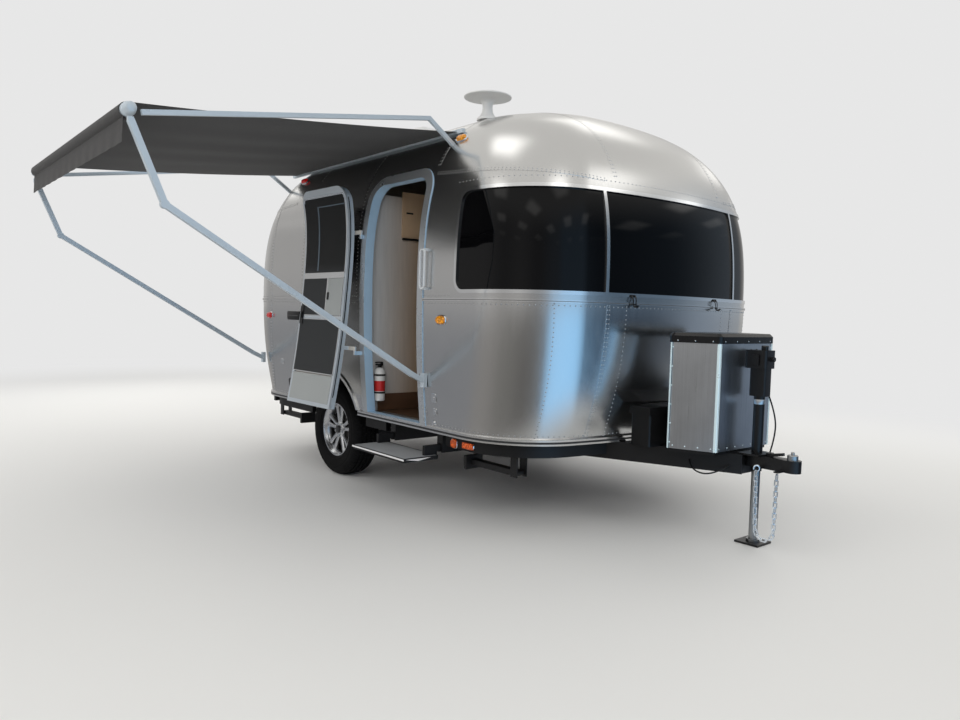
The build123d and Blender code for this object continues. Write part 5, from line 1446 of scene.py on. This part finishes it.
# Entry step: pressed steel tread on two slides under the sill, painted black. A pale gritty
# sheet is glued on its top, and a white line marks its nose.
dress("entry_step", coated("step_black", (0.009, 0.009, 0.010), 0.46, 0.6, 350.0, 0.25,
                           Specular_IOR_Level=0.35))
build = bmesh.new()
slab(build, (-2.436, -1.396, -0.1052), (-1.824, -1.146, -0.1035), 0.0006)
piece_of("step_grip", build, coated("step_grip", (0.30, 0.31, 0.32), 0.75, 0.5, 700.0, 0.9), "step")
build = bmesh.new()
slab(build, (-2.449, -1.4115, -0.1180), (-1.811, -1.4085, -0.1070), 0.0006)
for x in (-2.4515, -1.8085):
    lofted(build, [[Vector((x + t, -1.395, -0.1100)), Vector((x + t, -1.200, -0.1100)),
                    Vector((x + t, -1.300, -0.1260))] for t in (-0.0010, 0.0010)])
piece_of("step_nose", build, coated("nose_white", (0.80, 0.80, 0.80), 0.5, 0.1, 300.0, 0.1), "step",
         smooth=20)

# Stabilisers: screw legs of folded steel with welded feet, painted black. They hinge under
# the four corners of the frame and lie folded up for the road.
leg_black = coated("leg_black", (0.010, 0.010, 0.011), 0.44, 0.8, 300.0, 0.2, Specular_IOR_Level=0.35)
for corner in ("front_curb", "front_street", "rear_curb", "rear_street"):
    dress("stabiliser_" + corner, leg_black)

# Rear bumper: bright aluminium sheet pressed into one long box across the tail, carried by two
# brackets on the ends of the frame rails.
dress("rear_bumper", sheet_metal("bumper_sheet", (0.74, 0.75, 0.76), 0.24, along=(1.0, 0.15, 0.3),
                                 relief=0.06))

# Awning: woven cloth stretched from a rail on the wall to a roller, with a valance along its
# front edge, held out by pale anodised arms.
pale_tube = coated("pale_tube", (0.55, 0.62, 0.68), 0.32, 0.10, 90.0, 0.02, metallic=0.20)
ROLLER_Y, ROLLER_Z, ROLLER_R = -3.000, 2.262 + GROUND_Z, 0.038
ROLLER_ENDS = (-4.412, -1.868)
FABRIC_X = (-4.330, -1.950)
FABRIC_Z = (2.507 + GROUND_Z, 2.3023 + GROUND_Z)
RAIL_Y = -0.9453
CLOTH_COLOUR = (0.026, 0.0235, 0.0235)
rail = merged_copy("awning_rail", "awning_roller")
build = bmesh.new()
build.from_mesh(rail.data)
bmesh.ops.delete(build, geom=[v for v in build.verts if v.co.y < ROLLER_Y / 2], context="VERTS")
build.to_mesh(rail.data)
build.free()
settle(rail, pale_tube, "caravan", ["awning_roller"])
build = bmesh.new()
tube = [(0.0, 0.0), (0.016, 0.001), (0.025, 0.005), (0.029, 0.013), (0.030, 0.040), (0.0335, 0.046),
        (0.0355, 0.050), (0.0355, 0.086)]
whole = ROLLER_ENDS[1] - ROLLER_ENDS[0]
turned(build, tube + [(radius, whole - step) for radius, step in reversed(tube)],
       Vector((ROLLER_ENDS[0], ROLLER_Y, ROLLER_Z)), Vector((1, 0, 0)), 48)
piece_of("awning_roller_tube", build, pale_tube, "caravan", smooth=40)
dress("awning_arms", pale_tube, 30)
cloth, tree, shader = material("awning_cloth", CLOTH_COLOUR, 0.85, Sheen_Weight=0.15)
place = node(tree, "ShaderNodeUVMap")
warp = node(tree, "ShaderNodeTexWave", [("Vector", place.outputs["UV"]), ("Scale", 380.0)],
            bands_direction="X")
weft = node(tree, "ShaderNodeTexWave", [("Vector", place.outputs["UV"]), ("Scale", 380.0)],
            bands_direction="Y")
threads = calc(tree, "MULTIPLY", warp.outputs["Fac"], weft.outputs["Fac"])
# Soft patches lighter and darker over the cloth: painted shade of folds.
painted_fold_shade = mottled(tree, place.outputs["UV"], 3.0, 3.0)
tone = ranged(tree, threads, 0.0, 1.0, 0.75, 1.15)
shade = ranged(tree, painted_fold_shade, 0.0, 1.0, 0.85, 1.15)
scaled = calc(tree, "MULTIPLY", tone, shade)
tinted = vector_calc(tree, "SCALE", CLOTH_COLOUR, scaled)
bump = raised(tree, 0.25, 0.0008, threads)
drive(shader, Base_Color=tinted, Normal=bump)


def cloth_sheet(name, rows, width_m, length_m):
    """Single layer of cloth through rows of points, with UVs in metres along its flat cut."""
    across, down = len(rows[0]), len(rows)
    mesh = bpy.data.meshes.new(name)
    mesh.from_pydata([tuple(point) for row in rows for point in row], [], [
        (j * across + i, j * across + i + 1, (j + 1) * across + i + 1, (j + 1) * across + i)
        for j in range(down - 1) for i in range(across - 1)])
    layer = mesh.uv_layers.new(name="flat")
    for loop in mesh.loops:
        j, i = divmod(loop.vertex_index, across)
        layer.data[loop.index].uv = (i / (across - 1) * width_m, j / (down - 1) * length_m)
    mesh.polygons.foreach_set("use_smooth", [True] * len(mesh.polygons))
    return shown(name, mesh)


def between(ends, share):
    """The value at a share of the way between two ends."""
    return ends[0] + (ends[1] - ends[0]) * share


rows = []
for share in np.linspace(0, 1, 33):
    belly = 4 * share * (1 - share)
    row = []
    for u in np.linspace(0, 1, 41):
        drop = 0.015 * belly + 0.004 * belly * math.sin(9 * math.pi * u) * math.sin(math.pi * u)
        row.append((between(FABRIC_X, u), between((RAIL_Y, ROLLER_Y), share),
                    between(FABRIC_Z, share) - drop))
    rows.append(row)
canopy = cloth_sheet("awning_canopy", rows, 2.38, 2.065)
settle(canopy, cloth, "caravan", ["awning_fabric"])
rows = []
for share in np.linspace(0, 1, 97):  # what stays wound on the roller, two turns of it
    angle = math.radians(90 + 720 * share)
    reach = ROLLER_R + 0.0006 + 0.0010 * (1 - share)
    rows.append([(between(FABRIC_X, u), ROLLER_Y + reach * math.cos(angle),
                  ROLLER_Z + reach * math.sin(angle)) for u in np.linspace(0, 1, 21)])
wound = settle(cloth_sheet("awning_roll", rows, 2.38, 0.49), cloth, "caravan")
VALANCE_DROP = 0.125
rows = []
for share in np.linspace(0, 1, 9):
    row = []
    for u in np.linspace(0, 1, 81):
        wave = 0.0020 * math.sin(26 * math.pi * u) * share
        row.append((between(FABRIC_X, u), ROLLER_Y - 0.0185 - 0.006 * share + wave,
                    ROLLER_Z - 0.0355 - VALANCE_DROP * share))
    rows.append(row)
valance = cloth_sheet("awning_valance", rows, 2.38, VALANCE_DROP)
settle(valance, cloth, "caravan")

# Roof antenna: two white mouldings glued into a shallow saucer, on a flared stalk of the same
# plastic that is screwed to the roof by its foot.
white_plastic = coated("white_plastic", (0.78, 0.78, 0.77), 0.34, 0.10, 220.0, 0.08)
build = bmesh.new()
mast = Vector((-2.100, -0.560, 0.0))
turned(build, [(0.0, 2.376), (0.060, 2.375), (0.118, 2.371), (0.154, 2.366), (0.168, 2.361), (0.170, 2.357),
               (0.168, 2.352), (0.150, 2.347), (0.100, 2.341), (0.062, 2.336), (0.046, 2.328), (0.038, 2.310),
               (0.035, 2.290), (0.037, 2.268), (0.043, 2.246), (0.054, 2.226), (0.072, 2.211), (0.075, 2.206),
               (0.075, 2.194), (0.0, 2.190)],
       mast, up, 64)
piece_of("roof_antenna_saucer", build, white_plastic, "caravan", ["roof_antenna"], smooth=50)

# Roof vent and cooling unit: white mouldings clipped over frames in the roof. The cooling
# unit has stiffening ribs on its top and dark louvres at its sides and tail.
dress("roof_units", white_plastic, 35)
build = bmesh.new()
for step in range(11):
    x = -3.860 + step * 0.052
    slab(build, (x, -0.3325, 2.268), (x + 0.028, -0.3285, 2.340), 0.001)
    slab(build, (x, 0.3285, 2.268), (x + 0.028, 0.3325, 2.340), 0.001)
for step in range(8):
    y = -0.245 + step * 0.063
    slab(build, (-3.9525, y, 2.268), (-3.9485, y + 0.036, 2.345), 0.001)
piece_of("cooler_louvres", build, coated("louvre_grey", (0.06, 0.06, 0.065), 0.6, 0.3, 300.0, 0.1), "caravan")
build = bmesh.new()
for step in range(5):
    y = -0.20 + step * 0.10
    slab(build, (-3.760, y - 0.012, 2.407), (-3.330, y + 0.012, 2.4098), 0.001)
slab(build, (-2.820, -0.172, 2.275), (-2.480, 0.172, 2.2795), 0.0018)
piece_of("roof_unit_ribs", build, white_plastic, "caravan", smooth=30)
